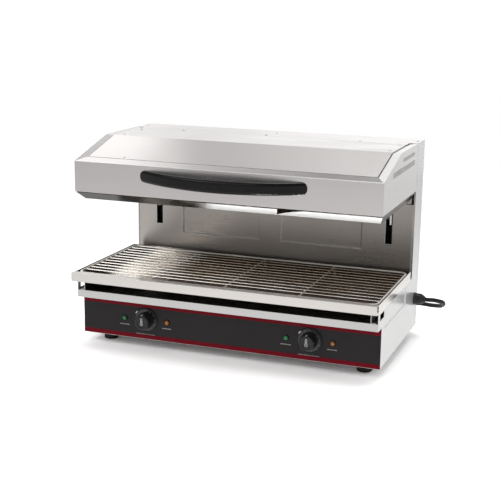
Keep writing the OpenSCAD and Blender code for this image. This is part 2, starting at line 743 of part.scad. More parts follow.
module head_side() {
  wall_y = head_y0 + sheet_t;
  flange_x = half_w - head_flange;
  rest_y = [ledge_y + 6, head_y1 - rear_flange - 6];
  difference() {
    across(inner_x, half_w) polygon([
      [wall_y, head_z], [head_y1, head_z], [head_y1, total_h], [slope_y, total_h],
      [wall_y, slope_z(wall_y)]
    ]);
    for (y = [slope_y + 20:vent_pitch:head_y1 - 40])
      block([inner_x - 1, y, total_h - 26], [half_w + 1, y + vent_w, total_h - 16]);
    for (y = [head_y0 + 93:vent_pitch:head_y1 - 40])
      block([inner_x - 1, y, total_h - 51], [half_w + 1, y + vent_w, total_h - 37]);
  }
  // flange with a mitred foot, and the rest under the cover's edge
  difference() {
    intersection() {
      under_flanges(0);
      linear_extrude(total_h + 1) polygon([
        [under_in, rest_y[0]], [flange_x, rest_y[0]], [flange_x, ledge_y + fit],
        [inner_x + 0.5, head_y0 + fit + (half_w - inner_x) * ledge_d / head_flange],
        [inner_x + 0.5, head_y1], [flange_x, head_y1], [flange_x, rest_y[1]], [under_in, rest_y[1]]
      ]);
    }
    under_flanges(sheet_t);
  }
  across(under_in - rest_w, cover_x - fit) skin(sheet_t, 2 * sheet_t, rest_y[0], rest_y[1]);
}

module head_side_left() color(steel) placed() mirror([1, 0, 0]) head_side();

module head_side_right() color(steel) placed() head_side();

module head_front() color(steel) placed() {
  difference() {
    across(-half_w, half_w) fold([
      [head_y0 + 8, head_z], [head_y0, head_z], [head_y0, face_top], [ledge_y, slope_z(ledge_y)]
    ], -sheet_t);
    both_sides() {
      // the lower return and the ledge stop at the side walls
      block([inner_x - fit, head_y0 + sheet_t, head_z - 1], [half_w + 1, ledge_y + 9, total_h]);
      translate([0, 0, head_z + sheet_t + 1]) linear_extrude(head_h) polygon([
        [half_w - head_flange, ledge_y + 1], [half_w + 1, ledge_y + 1],
        [half_w + 1, head_y0 + sheet_t], [inner_x - fit, head_y0 + sheet_t],
        [half_w - head_flange, ledge_y]
      ]);
    }
  }
}

module head_cover() color(steel) placed()
  across(-cover_x, cover_x) skin(0, sheet_t, ledge_y + cover_gap, head_y1 - rear_flange - cover_gap);

module head_rear() color(steel) placed() difference() {
  across(-inner_x, inner_x) fold([
    [head_y1 - 8, head_z], [head_y1, head_z], [head_y1, total_h], [head_y1 - rear_flange, total_h]
  ], sheet_t);
  both_sides() {
    block([half_w - head_flange - fit, head_y1 - rear_flange - 1, total_h - lean_drop - fit],
          [half_w, head_y1 + 1, total_h + 1]);
    block([arm_x - fit, head_y1 - 4, arm_z - fit], [arm_x + arm_t + fit, head_y1 + 1, arm_top + fit]);
  }
}

// The skirt is a shallow hopper: four walls that taper in, with a turned-in rim. Its neck is set
// back, which leaves an open joint under the head's walls
module hopper(wall) intersection() {
  across(-half_w, half_w) polygon([
    [head_y0 + wall, head_z], [head_y1 - wall, head_z],
    [skirt_y1 - wall, skirt_z], [skirt_y0 + wall, skirt_z]
  ]);
  along(head_y0, head_y1) polygon([
    [wall - half_w, head_z], [half_w - wall, head_z], [skirt_x - wall, skirt_z],
    [wall - skirt_x, skirt_z]
  ]);
}

module skirt() color(bright) placed() {
  joint_z = head_z - skirt_joint;
  neck_in = joint_in + neck_w;
  difference() {
    hopper(0);
    intersection() {
      hopper(2);
      block([-half_w, head_y0, rim_top], [half_w, head_y1, joint_z - sheet_t]);
    }
    // the open mouth, and the way in at the top
    block([-rim_x, skirt_y0 + skirt_rim, skirt_z - 1], [rim_x, skirt_y1 - skirt_rim, rim_top + 1]);
    block([neck_in - half_w, head_y0 + neck_in, joint_z - 2 * sheet_t],
          [half_w - neck_in, head_y1 - neck_in, head_z + 1]);
    // the open joint
    difference() {
      block([-half_w - 1, head_y0 - 1, joint_z], [half_w + 1, head_y1 + 1, head_z + 1]);
      block([joint_in - half_w, head_y0 + joint_in, joint_z - 1],
            [half_w - joint_in, head_y1 - joint_in, head_z + 2]);
    }
  }
}

module lead_places() for (side = [-1, 1], end = [-1, 1])
  translate([side * (element_x1 + lead_r), mid_y + end * run_pitch * (element_runs - 1) / 2, 0])
    children();

module reflector() color(bright) placed() difference() {
  block([-reflector_x, reflector_y0, rim_top], [reflector_x, reflector_y1, reflector_z]);
  block([reflector_t - reflector_x, reflector_y0 + reflector_t, rim_top - 1],
        [reflector_x - reflector_t, reflector_y1 - reflector_t, reflector_z - reflector_t]);
  lead_places() translate([0, 0, reflector_z - 5]) cylinder(d = element_d + 3, h = 10);
}

module insulation() color([0.78, 0.76, 0.68]) placed() difference() {
  edge = 4;
  thick = 30;
  block([3 * edge - reflector_x, reflector_y0 + edge, reflector_z],
        [reflector_x - 3 * edge, reflector_y1 - edge, reflector_z + thick]);
  lead_places() translate([0, 0, reflector_z - 1]) cylinder(d = 20, h = 2 * thick);
}

module element() {
  first_y = mid_y - run_pitch * (element_runs - 1) / 2;
  bend_r = run_pitch / 2;
  for (i = [0:element_runs - 1]) {
    x1 = i == 0 || i == element_runs - 1 ? element_x1 : element_x1 - bend_r;
    wire(element_x0 + bend_r, x1, first_y + i * run_pitch, element_z, element_d);
  }
  for (i = [0:element_runs - 2]) translate([
    i % 2 == 0 ? element_x0 + bend_r : element_x1 - bend_r, first_y + (i + 0.5) * run_pitch, element_z
  ]) rotate([0, 0, i % 2 == 0 ? 90 : -90]) rotate_extrude(angle = 180)
    translate([bend_r, 0]) circle(d = element_d);
  for (i = [0, element_runs - 1]) {
    y = first_y + i * run_pitch;
    translate([element_x1, y, element_z + lead_r]) rotate([90, 0, 0]) rotate([0, 0, -90])
      rotate_extrude(angle = 90) translate([lead_r, 0]) circle(d = element_d);
    translate([element_x1 + lead_r, y, element_z + lead_r])
      cylinder(d = element_d, h = lead_top - element_z - lead_r);
  }
}

module element_left() color(dark_steel) placed() mirror([1, 0, 0]) element();

module element_right() color(dark_steel) placed() element();

module element_hangers() color(bright) placed() both_sides() for (x = hanger_x) difference() {
  block([x - hanger_t / 2, reflector_y0 + 6, element_z - element_d],
        [x + hanger_t / 2, reflector_y1 - 6, reflector_z - reflector_t]);
  for (i = [0:element_runs - 1])
    translate([x - 5, mid_y + (i - (element_runs - 1) / 2) * run_pitch, element_z])
      rotate([0, 90, 0]) cylinder(d = element_d + 2 * fit, h = 10);
}

module handle() color(black) placed() {
  bow_r = (handle_w * handle_w / 4 + handle_out * handle_out) / (2 * handle_out);
  reach = asin(handle_w / 2 / bow_r) + 3;
  difference() {
    translate([0, head_y0, head_z + handle_z]) rotate([handle_droop, 0, 0]) intersection() {
      translate([0, bow_r - handle_out, 0]) rotate([0, 0, 270 - reach])
        rotate_extrude(angle = 2 * reach, $fn = 480) translate([bow_r - handle_t / 2, 0]) {
          square([handle_t, handle_h - handle_t], center = true);
          for (end = [-1, 1])
            translate([0, end * (handle_h - handle_t) / 2]) circle(d = handle_t, $fn = 48);
        }
      // the ends are round when seen from the front
      along(-2 * handle_out, handle_out) {
        square([handle_w - handle_h, 2 * handle_h], center = true);
        for (end = [-1, 1]) translate([end * (handle_w - handle_h) / 2, 0]) circle(d = handle_h);
      }
    }
    block([-handle_w, head_y0, head_z - 50], [handle_w, head_y0 + 100, head_z + 150]);
  }
}

// ---------- lift ----------

module carriages() color(bright) placed() both_sides() difference() {
  union() {
    // plate bolted inside the head, arm through the slot, and web in the column
    block([arm_x + arm_t / 2 - arm_flange / 2, head_y1 - sheet_t - 3, arm_z],
          [arm_x + arm_t / 2 + arm_flange / 2, head_y1 - sheet_t, arm_top]);
    block([arm_x, head_y1 - sheet_t - 1, arm_z], [arm_x + arm_t, col_y + 6, arm_top]);
    block([arm_x, col_y + 4, web_z], [arm_x + arm_t, lift_y + 12, arm_top]);
    for (z = [sleeve_z, arm_top - sleeve_h - 4]) {
      translate([rod_x, lift_y, z]) cylinder(d = sleeve_d, h = sleeve_h);
      block([rod_x, lift_y - 4, z], [arm_x + 1, lift_y + 4, z + sleeve_h]);
    }
    block([strut_x - strut_rod_d, lift_y - strut_rod_d, sleeve_z],
          [rod_x, lift_y + strut_rod_d, sleeve_z + lug_h]);
  }
  translate([rod_x, lift_y, web_z]) cylinder(r = rod_d / 2 + run_fit, h = arm_top - web_z);
}

module strut_rods() color(bright) placed() both_sides()
  translate([strut_x, lift_y, strut_rod_z]) cylinder(d = strut_rod_d, h = sleeve_z - strut_rod_z);

side_panel_left();
side_panel_right();
base_plate();
control_panel();
panel_stripes();
deck();
tray_guides();
feet();
back_panel();
upper_panel();
rear_cover();
column_top();
column_brace();
guide_rods();
strut_cylinders();
thermostats();
knob_bezels();
lamp_housings();
lamp_lenses_green();
lamp_lenses_amber();
terminal_block();
cable_gland();
power_cord();
cord_coil();
plug_body();
plug_pins();
knob_left();
knob_right();
spindle_left();
spindle_right();
pan();
rack_frame();
rack_wires();
rack_rods();
head_side_left();
head_side_right();
head_front();
head_cover();
head_rear();
skirt();
reflector();
insulation();
element_left();
element_right();
element_hangers();
handle();
carriages();
strut_rods();
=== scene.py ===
"""The looks of a lift salamander (cheese melter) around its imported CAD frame. All sizes are in metres."""

import math

import bmesh
import bpy
from mathutils import Matrix, Vector


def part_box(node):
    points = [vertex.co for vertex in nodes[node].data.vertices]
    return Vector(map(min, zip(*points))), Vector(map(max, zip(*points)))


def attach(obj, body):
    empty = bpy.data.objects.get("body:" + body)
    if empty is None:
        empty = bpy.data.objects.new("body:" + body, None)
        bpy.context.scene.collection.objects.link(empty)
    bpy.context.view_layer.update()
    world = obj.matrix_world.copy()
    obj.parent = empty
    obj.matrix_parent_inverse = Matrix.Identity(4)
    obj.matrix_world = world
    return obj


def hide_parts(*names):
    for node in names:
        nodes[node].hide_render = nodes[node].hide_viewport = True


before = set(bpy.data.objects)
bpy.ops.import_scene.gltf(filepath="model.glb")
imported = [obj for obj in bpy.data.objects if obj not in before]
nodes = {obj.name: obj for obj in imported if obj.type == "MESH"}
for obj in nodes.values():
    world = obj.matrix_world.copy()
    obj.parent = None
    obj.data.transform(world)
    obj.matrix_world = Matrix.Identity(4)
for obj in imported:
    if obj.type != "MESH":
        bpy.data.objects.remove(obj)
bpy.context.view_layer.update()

# the camera fitted to the photo: its size and focal length in pixels, then where it stands
PHOTO_PX = 500
FOCAL_PX = 1100.4
CAMERA_AT = (0.968, -2.632, 0.912)
CAMERA_YAW = math.radians(20.14)
CAMERA_PITCH = math.radians(13.30)
CAMERA_ROLL = math.radians(0.80)
SENSOR = 36.0

CORD_D = 0.0115
# the knobs' centres, from the middle and above the floor
KNOB_X = 0.221
KNOB_Z = 0.0775
# how far each lamp lies to the side of its knob
LAMP_OFF = 0.060
# how far the dials' faces lie behind their rims
BEZEL_RIM = 0.0015
# the rack's wires, their spacing, and the rods under them
WIRE_R = 0.00225
WIRE_PITCH = 0.0265
ROD_R = 0.0025
# the pan's inside lies behind the first, and within the second to each side
PAN_FRONT = -0.2085
PAN_SIDE = 0.4005


# ---------- small helpers ----------


def add_mesh(name, verts, faces, material, body, smooth=True, slot=None):
    """A mesh piece in the row frame that rides on a body."""
    data = bpy.data.meshes.new(name)
    data.from_pydata([tuple(v) for v in verts], [], faces)
    data.validate()
    mesh = bmesh.new()
    mesh.from_mesh(data)
    bmesh.ops.recalc_face_normals(mesh, faces=mesh.faces)
    mesh.to_mesh(data)
    mesh.free()
    for face in data.polygons:
        face.use_smooth = smooth
    obj = bpy.data.objects.new(name, data)
    bpy.context.scene.collection.objects.link(obj)
    data.materials.append(material)
    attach(obj, body)
    return obj


def ring_faces(rings, steps):
    """The faces between rings of corners, with steps corners in each."""
    return [(i * steps + k, i * steps + (k + 1) % steps, (i + 1) * steps + (k + 1) % steps,
             (i + 1) * steps + k) for i in range(rings - 1) for k in range(steps)]


def turn_profile(profile, centre, axis, steps, wave=None):
    """The corners and faces of an open turned form. profile holds (radius, height) pairs, axis is
    its direction, and wave(angle, index) scales the radius, for flutes."""
    turn = Vector((0, 0, 1)).rotation_difference(Vector(axis)).to_matrix()
    verts = []
    for index, (radius, height) in enumerate(profile):
        for k in range(steps):
            a = 2 * math.pi * k / steps
            r = radius * (wave(a, index) if wave else 1.0)
            verts.append(Vector(centre) + turn @ Vector((r * math.cos(a), r * math.sin(a), height)))
    return verts, ring_faces(len(profile), steps)


def end_cap(profile, steps):
    """The face that closes a turned form's far end."""
    return tuple((len(profile) - 1) * steps + k for k in range(steps))


def catmull(points, steps):
    """A smooth curve through the points."""
    out = []
    for i in range(len(points) - 1):
        a, b = points[max(i - 1, 0)], points[i]
        c, d = points[i + 1], points[min(i + 2, len(points) - 1)]
        for k in range(steps):
            t = k / steps
            out.append(0.5 * (2 * b + (c - a) * t + (2 * a - 5 * b + 4 * c - d) * t * t
                              + (3 * b - a - 3 * c + d) * t ** 3))
    return out + [points[-1]]


# ---------- camera ----------


def make_camera():
    """The camera that took the photo, as fitted to its straight edges."""
    data = bpy.data.cameras.new("camera")
    data.sensor_width = SENSOR
    data.lens = FOCAL_PX / PHOTO_PX * SENSOR
    data.clip_end = 50
    camera = bpy.data.objects.new("camera", data)
    bpy.context.scene.collection.objects.link(camera)
    turn = (Matrix.Rotation(CAMERA_YAW, 4, "Z") @ Matrix.Rotation(math.pi / 2 - CAMERA_PITCH, 4, "X")
            @ Matrix.Rotation(CAMERA_ROLL, 4, "Z"))
    camera.matrix_world = Matrix.Translation(CAMERA_AT) @ turn
    bpy.context.scene.camera = camera


make_camera()


# ---------- materials ----------


class Shader:
    """A Principled material whose nodes are added one by one."""

    def __init__(self, name, base, metallic=0.0, roughness=0.5, **values):
        self.material = bpy.data.materials.new(name)
        self.material.use_nodes = True
        self.tree = self.material.node_tree
        self.bsdf = self.tree.nodes["Principled BSDF"]
        self.set("Base Color", (*base, 1.0))
        self.set("Metallic", metallic)
        self.set("Roughness", roughness)
        for key, value in values.items():
            self.set(key.replace("_", " ").title().replace("Ior", "IOR"), value)
        self.coords = self.tree.nodes.new("ShaderNodeTexCoord")

    def set(self, socket, value):
        self.bsdf.inputs[socket].default_value = value

    def node(self, kind, **values):
        made = self.tree.nodes.new(kind)
        for key, value in values.items():
            setattr(made, key, value)
        return made

    def link(self, a, b):
        self.tree.links.new(a, b)

    def noise(self, scale, detail=3.0, rough=0.55, stretch=(1, 1, 1)):
        """A noise field in the object's own metres, squeezed by stretch."""
        place = self.node("ShaderNodeMapping")
        place.inputs["Scale"].default_value = stretch
        self.link(self.coords.outputs["Object"], place.inputs["Vector"])
        made = self.node("ShaderNodeTexNoise")
        made.inputs["Scale"].default_value = scale
        made.inputs["Detail"].default_value = detail
        made.inputs["Roughness"].default_value = rough
        self.link(place.outputs["Vector"], made.inputs["Vector"])
        return made.outputs["Fac"]

    def span(self, value, low, high, start=0.3, end=0.7):
        """Maps start..end onto low..high."""
        made = self.node("ShaderNodeMapRange")
        made.inputs["From Min"].default_value = start
        made.inputs["From Max"].default_value = end
        made.inputs["To Min"].default_value = low
        made.inputs["To Max"].default_value = high
        self.link(value, made.inputs["Value"])
        return made.outputs["Result"]

    def math(self, operation, a, b):
        made = self.node("ShaderNodeMath", operation=operation)
        for socket, value in zip(made.inputs, (a, b)):
            if isinstance(value, (int, float)):
                socket.default_value = value
            else:
                self.link(value, socket)
        return made.outputs["Value"]

    def mix(self, fac, a, b):
        """A colour between a and b."""
        made = self.node("ShaderNodeMix", data_type="RGBA")
        self.link(fac, made.inputs["Factor"])
        for socket, colour in ((made.inputs[6], a), (made.inputs[7], b)):
            if isinstance(colour, tuple):
                socket.default_value = (*colour, 1.0)
            else:
                self.link(colour, socket)
        return made.outputs[2]

    def place(self):
        """The X, Y and Z of the point, in the row frame's metres."""
        made = self.node("ShaderNodeSeparateXYZ")
        self.link(self.coords.outputs["Object"], made.inputs[0])
        return made.outputs

    def facing(self):
        """The X, Y and Z of the face's own direction."""
        flat = self.node("ShaderNodeNewGeometry")
        made = self.node("ShaderNodeSeparateXYZ")
        self.link(flat.outputs["True Normal"], made.inputs[0])
        return made.outputs

    def both(self, a, b):
        return self.math("MULTIPLY", a, b)

    def above(self, value, limit):
        return self.math("GREATER_THAN", value, limit)

    def below(self, value, limit):
        return self.math("LESS_THAN", value, limit)

    def bump(self, height, strength, distance, edge=0.0):
        """Bumps the surface, and rounds its edges by the width edge."""
        made = self.node("ShaderNodeBump")
        made.inputs["Strength"].default_value = strength
        made.inputs["Distance"].default_value = distance
        self.link(height, made.inputs["Height"])
        if edge:
            rounded = self.node("ShaderNodeBevel", samples=4)
            rounded.inputs["Radius"].default_value = edge
            self.link(rounded.outputs["Normal"], made.inputs["Normal"])
        self.link(made.outputs["Normal"], self.bsdf.inputs["Normal"])

    def wear(self, width):
        """1 along sharp edges, within about width of them, and 0 elsewhere."""
        rounded = self.node("ShaderNodeBevel", samples=4)
        rounded.inputs["Radius"].default_value = width
        flat = self.node("ShaderNodeNewGeometry")
        facing = self.node("ShaderNodeVectorMath", operation="DOT_PRODUCT")
        self.link(rounded.outputs["Normal"], facing.inputs[0])
        self.link(flat.outputs["True Normal"], facing.inputs[1])
        return self.span(facing.outputs["Value"], 1.0, 0.0, 0.80, 0.995)


GRAIN_SIDE = {"x": (0, 0.7, 0.7), "y": (0.7, 0, 0.7), "z": (0.7, 0.7, 0)}


def brushed(name, base, rough, along, depth=0.06, smear=0.03, tint=0.03, edge=0.0010, wear_and_highlight=1.15,
            patch=None, metal=1.0):
    """Sheet steel brushed along one axis: fine lines, faint bands, slow smears of handling and rounded
    edges, paler where worn bare and where a highlight is painted along them. Its reflections spread
    across the lines more than along them.
    patch(shader, colour) may recolour a part of it."""
    s = Shader(name, base, metallic=metal, roughness=rough, anisotropic=0.75)
    side = s.node("ShaderNodeCombineXYZ")
    for socket, value in zip(side.inputs, GRAIN_SIDE[along]):
        socket.default_value = value
    s.link(side.outputs["Vector"], s.bsdf.inputs["Tangent"])
    fine = tuple(5 if axis == along else 900 for axis in "xyz")
    bands = tuple(1.2 if axis == along else 210 for axis in "xyz")
    grain = s.noise(1.0, 3.0, 0.6, fine)
    band = s.noise(1.0, 3.0, 0.6, bands)
    smears = s.noise(4.0, 4.0, 0.6)
    both = s.math("ADD", s.math("MULTIPLY", grain, 0.7), s.math("MULTIPLY", band, 0.3))
    fixed = s.math("ADD", s.span(both, rough - 0.02, rough + 0.03), s.span(smears, -smear / 2, smear))
    s.link(fixed, s.bsdf.inputs["Roughness"])
    dark = tuple(c * (1 - tint) for c in base)
    pale = tuple(min(1.0, c * (1 + tint * 0.6)) for c in base)
    bare = tuple(min(0.95, c * wear_and_highlight) for c in base)
    colour = s.mix(s.span(both, 0, 1), dark, pale)
    if patch:
        colour = patch(s, colour)
    # edges are paler where worn bare, and this also paints a highlight along them
    if edge:
        colour = s.mix(s.math("MULTIPLY", s.wear(edge), 0.6), colour, bare)
    s.link(colour, s.bsdf.inputs["Base Color"])
    s.bump(grain, depth, 0.0001, edge)
    return s.material


# a face points up, or is level, or points forward, when its direction is past these
UPWARD = 0.5
LEVEL = 0.97
FORWARD = -0.9

RETURN_LOW_Z = 0.176
# the darker colour of the returns' forward faces
RETURN_DARK = (0.46, 0.43, 0.40)


def column_return(s, colour):
    """The narrow returns beside the column's front panels, faces that point forward above RETURN_LOW_Z,
    take a darker colour like the panels'.
    """
    inward = s.both(s.below(s.facing()[1], FORWARD), s.above(s.place()[2], RETURN_LOW_Z))
    return s.mix(inward, colour, RETURN_DARK)


# the painted shadow line at the step down from the cover
COVER_STEP_SHADOW = (0.05, 0.048, 0.045)
# faces inside the head are darker
INSIDE_DARK = (0.07, 0.06, 0.055)
VENT_EDGE = (0.30, 0.29, 0.28)
# widths of the painted shadow line beside the cover, on the left and right flanges
STEP_LEFT_W = 0.0035
STEP_RIGHT_W = 0.0018


def flange_painted_light(tone, top, step):
    """The side flanges of the head's slope get a painted tone, one for each side, that stands in for the
    light they reflect, and so do those of its top. The step down from the cover throws a painted shadow
    line on both, faces that point inwards are darker, and so are the front faces of the vents' edges."""
    cover_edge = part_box("head_cover")[1].x

    def patch(s, colour):
        up = s.facing()[2]
        width = s.math("ABSOLUTE", s.place()[0], 0)
        line = s.both(s.above(up, UPWARD), s.below(width, cover_edge + step))
        colour = s.mix(s.above(up, UPWARD), colour, tone)
        colour = s.mix(s.above(up, LEVEL), colour, top)
        inward = s.below(s.both(s.facing()[0], s.place()[0]), -0.15)
        colour = s.mix(inward, colour, INSIDE_DARK)
        colour = s.mix(s.below(s.facing()[1], FORWARD), colour, VENT_EDGE)
        return s.mix(line, colour, COVER_STEP_SHADOW)
    return patch


STREAK_X = (0.05, 0.30)
# painted dark streaks of reflection on the right part of the top
STREAK_REFLECTION = (0.54, 0.53, 0.53)


def cover_painted_light(s, colour):
    """The cover is darker underneath; painted dark streaks of reflection lie on its top's right part."""
    up = s.facing()[2]
    streak = s.span(s.noise(1.0, 3.0, 0.5, (5, 26, 1)), 0.0, 1.0, 0.42, 0.60)
    right = s.span(s.place()[0], 0.25, 1.0, *STREAK_X)
    dull = s.both(s.both(streak, right), s.above(up, LEVEL))
    colour = s.mix(dull, colour, STREAK_REFLECTION)
    return s.mix(s.below(up, -0.3), colour, INSIDE_DARK)


LEDGE_UP = 0.3
LEDGE_DARK_X = (-0.05, 0.25)
# painted darker reflection towards the ledge's right end
LEDGE_REFLECTION_DARK = (0.33, 0.32, 0.315)
FOLD_W = 0.004
# painted highlight along the fold
FOLD_HIGHLIGHT = (0.72, 0.71, 0.70)
# the painted shadow line under the cover's lower edge: its width and colour
LEDGE_SHADOW_W = 0.0035
LEDGE_SHADOW = (0.14, 0.135, 0.13)


def ledge_painted_light(s, colour):
    """The cover's lower edge throws a painted shadow line on the ledge that the front sheet folds into. The
    fold itself carries a painted highlight, and the ledge is painted darker towards its right end, as a
    reflection."""
    x, y, _ = s.place()
    ledge = s.above(s.facing()[2], LEDGE_UP)
    colour = s.mix(s.both(s.span(x, 0.0, 1.0, *LEDGE_DARK_X), ledge), colour, LEDGE_REFLECTION_DARK)
    fold = s.both(ledge, s.below(y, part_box("head_front")[0].y + FOLD_W))
    colour = s.mix(fold, colour, FOLD_HIGHLIGHT)
    line = s.both(ledge, s.above(y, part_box("head_cover")[0].y - LEDGE_SHADOW_W))
    return s.mix(line, colour, LEDGE_SHADOW)


PRESS_EDGE_W = 0.0030
PRESS_PALE = (0.95, 0.93, 0.90)


def press_edges(s, colour):
    """The lower and left edges of the pressed fields catch the light."""
    rounded = s.node("ShaderNodeBevel", samples=4)
    rounded.inputs["Radius"].default_value = PRESS_EDGE_W
    made = s.node("ShaderNodeSeparateXYZ")
    s.link(rounded.outputs["Normal"], made.inputs[0])
    lit = s.span(s.math("MAXIMUM", made.outputs[0], made.outputs[2]), 0.0, 1.0, 0.10, 0.40)
    s.link(s.span(lit, 1.0, 0.2, 0.0, 1.0), s.bsdf.inputs["Metallic"])
    return s.mix(lit, colour, PRESS_PALE)


def polished(name, base, rough, dents=0.3, edge=0.0):
    """Bright steel with a slight waviness, and dull marks where it was wiped."""
    s = Shader(name, base, metallic=1.0, roughness=rough)
    wipes = s.noise(3.0, 5.0, 0.65, (3, 9, 9))
    s.link(s.span(wipes, rough, rough + 0.10, 0.40, 0.85), s.bsdf.inputs["Roughness"])
    s.link(s.mix(s.span(wipes, 0, 1), base, tuple(c * 0.93 for c in base)), s.bsdf.inputs["Base Color"])
    s.bump(s.noise(7.0, 2.0, 0.4), dents, 0.0006, edge)
    return s.material


# the first four colours paint the skirt's reflections and the shade of its ends
SKIRT_REFLECTION_PALE = (0.96, 0.955, 0.94)
SKIRT_REFLECTION_BROWN = (0.045, 0.037, 0.033)
SKIRT_REFLECTION_BLACK = (0.008, 0.007, 0.006)
SKIRT_END_SHADE = (0.22, 0.21, 0.20)
SKIRT_STREAK = (0.5, 0.48, 0.45)
# the front's painted reflection is brown left of the first X and pale right of the second, and likewise
# black and brown
SKIRT_BROWN_X = (-0.12, -0.02)
SKIRT_BLACK_X = (-0.30, -0.26)
# the painted dark wedge starts at the first X and ends at the second, further left on faces further back
WEDGE_X = (0.142, 0.226)
WEDGE_LEAN = 0.36
WEDGE_CURVE = 0.7
# the height of the painted shadow line where the skirt meets the head
JOINT_SHADOW_H = 0.0035


def skirt_steel(name):
    """The tapered skirt: satin steel whose colour is a painted reflection, pale in front, brown and black
    at its left, dark in a wedge right of the middle and round its ends, with a painted shadow line where it
    meets the head."""
    s = Shader(name, (0.7, 0.7, 0.7), metallic=0.5, roughness=0.3)
    drift = s.math("ADD", s.place()[0], s.span(s.noise(9.0, 4.0, 0.6), -0.03, 0.03))
    front = s.both(s.span(drift, 0.0, 1.0, *SKIRT_BROWN_X), s.below(s.facing()[1], -0.3))
    streak = s.span(s.noise(1.0, 3.0, 0.6, (14, 160, 160)), 0.92, 1.0)
    low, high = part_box("skirt")
    x, y, z = s.place()
    sideways = s.math("ADD", x, s.math("MULTIPLY", s.math("SUBTRACT", y, low.y), WEDGE_LEAN))
    along = s.span(sideways, 0.0, 1.0, *WEDGE_X)
    height = s.span(z, 0.0, 1.0, low.z, high.z)
    wedge_shade = s.both(s.above(along, 0.0), s.above(height, s.math("POWER", along, WEDGE_CURVE)))
    front = s.both(front, s.math("SUBTRACT", 1.0, wedge_shade))
    front = s.both(front, s.below(z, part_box("head_front")[0].z - JOINT_SHADOW_H))
    dark = s.mix(s.span(x, 1.0, 0.0, *SKIRT_BLACK_X), SKIRT_REFLECTION_BROWN, SKIRT_REFLECTION_BLACK)
    dark = s.mix(s.above(s.facing()[0], 0.3), dark, SKIRT_END_SHADE)
    colour = s.mix(front, dark, SKIRT_REFLECTION_PALE)
    s.link(s.mix(streak, SKIRT_STREAK, colour), s.bsdf.inputs["Base Color"])
    s.link(s.span(front, 0.95, 0.10, 0.0, 1.0), s.bsdf.inputs["Metallic"])
    s.link(s.span(front, 0.16, 0.34, 0.0, 1.0), s.bsdf.inputs["Roughness"])
    s.bump(s.noise(7.0, 2.0, 0.4), 0.2, 0.0006, 0.0006)
    return s.material


PAN_BRIGHT = (0.68, 0.65, 0.615)
# the brown is baked-on fat painted darker as a reflection; the black and the pale below paint reflections
PAN_BROWN = (0.095, 0.064, 0.042)
PAN_SPOTS = (0.045, 0.030, 0.020)
PAN_REFLECTION_BLACK = (0.014, 0.011, 0.008)
PAN_REFLECTION_PALE = (0.95, 0.92, 0.86)
# between these X the pan goes from the painted black reflection to brown, from brown into the painted pale
# reflection band, and back to brown
DARK_END_X = (-0.36, -0.30)
PALE_FROM_X = (-0.352, -0.322)
PALE_TO_X = (-0.27, -0.19)


def pan_steel(name):
    """The drip pan: bright outside and along its lip, brown inside with baked-on fat that is painted darker
    as a reflection of the dark cavity, with a painted pale reflection near its left end and a painted
    black reflection at that end."""
    s = Shader(name, PAN_BRIGHT, metallic=1.0, roughness=0.07)
    x, y, _ = s.place()
    width = s.math("ABSOLUTE", x, 0)
    inside = s.both(s.above(y, PAN_FRONT), s.below(width, PAN_SIDE))
    drift = s.math("ADD", x, s.span(s.noise(7.0, 4.0, 0.6), -0.015, 0.015))
    spots = s.span(s.noise(60.0, 5.0, 0.7), 0.0, 1.0, 0.45, 0.7)
    stain_and_shade = s.mix(spots, PAN_BROWN, PAN_SPOTS)
    stain_and_shade = s.mix(s.span(x, 1.0, 0.0, *DARK_END_X), stain_and_shade, PAN_REFLECTION_BLACK)
    pale_band = s.both(s.span(drift, 0.0, 1.0, *PALE_FROM_X), s.span(drift, 1.0, 0.0, *PALE_TO_X))
    tone = s.mix(pale_band, stain_and_shade, PAN_REFLECTION_PALE)
    s.link(s.mix(inside, PAN_BRIGHT, tone), s.bsdf.inputs["Base Color"])
    bare = s.span(s.both(inside, s.math("SUBTRACT", 1.0, pale_band)), 1.0, 0.12, 0.0, 1.0)
    rim = s.both(s.above(s.facing()[2], 0.9), s.below(y, PAN_FRONT))
    s.link(s.math("SUBTRACT", bare, s.both(rim, 0.6)), s.bsdf.inputs["Metallic"])
    s.set("Specular IOR Level", 0.15)
    dull = s.span(s.noise(30.0, 5.0, 0.65), 0.08, 0.26)
    haze = s.math("ADD", s.both(dull, s.math("SUBTRACT", 1.0, pale_band)), s.both(pale_band, 0.14))
    s.link(s.math("ADD", s.both(inside, haze), s.span(inside, 0.15, 0.05, 0.0, 1.0)),
           s.bsdf.inputs["Roughness"])
    s.bump(s.noise(7.0, 2.0, 0.4), 0.25, 0.0006, 0.001)
    return s.material


WIRE_BRIGHT = (0.95, 0.91, 0.85)
WIRE_BROWN = (0.44, 0.36, 0.28)
# the wires turn brown between these Y and these X
WIRE_BROWN_Y = (-0.19, -0.09)
WIRE_BROWN_X = (-0.24, -0.12)


def wire_steel(name, browned, metal=1.0):
    """The rack's bright wire, which may be browner away from its front and left."""
    s = Shader(name, WIRE_BRIGHT, metallic=metal, roughness=0.12)
    if browned:
        x, y, _ = s.place()
        drift = s.span(s.noise(7.0, 4.0, 0.6), -0.05, 0.05)
        back = s.span(s.math("ADD", y, drift), 0.0, 1.0, *WIRE_BROWN_Y)
        right = s.span(s.math("ADD", x, drift), 0.0, 1.0, *WIRE_BROWN_X)
        colour = s.mix(s.both(back, right), WIRE_BRIGHT, WIRE_BROWN)
        s.link(colour, s.bsdf.inputs["Base Color"])
    s.link(s.span(s.noise(40.0, 3.0, 0.6), 0.09, 0.18), s.bsdf.inputs["Roughness"])
    s.bump(s.noise(7.0, 2.0, 0.4), 0.05, 0.0006)
    return s.material


GUIDE_EDGE_Y = (-0.1945, -0.1935)


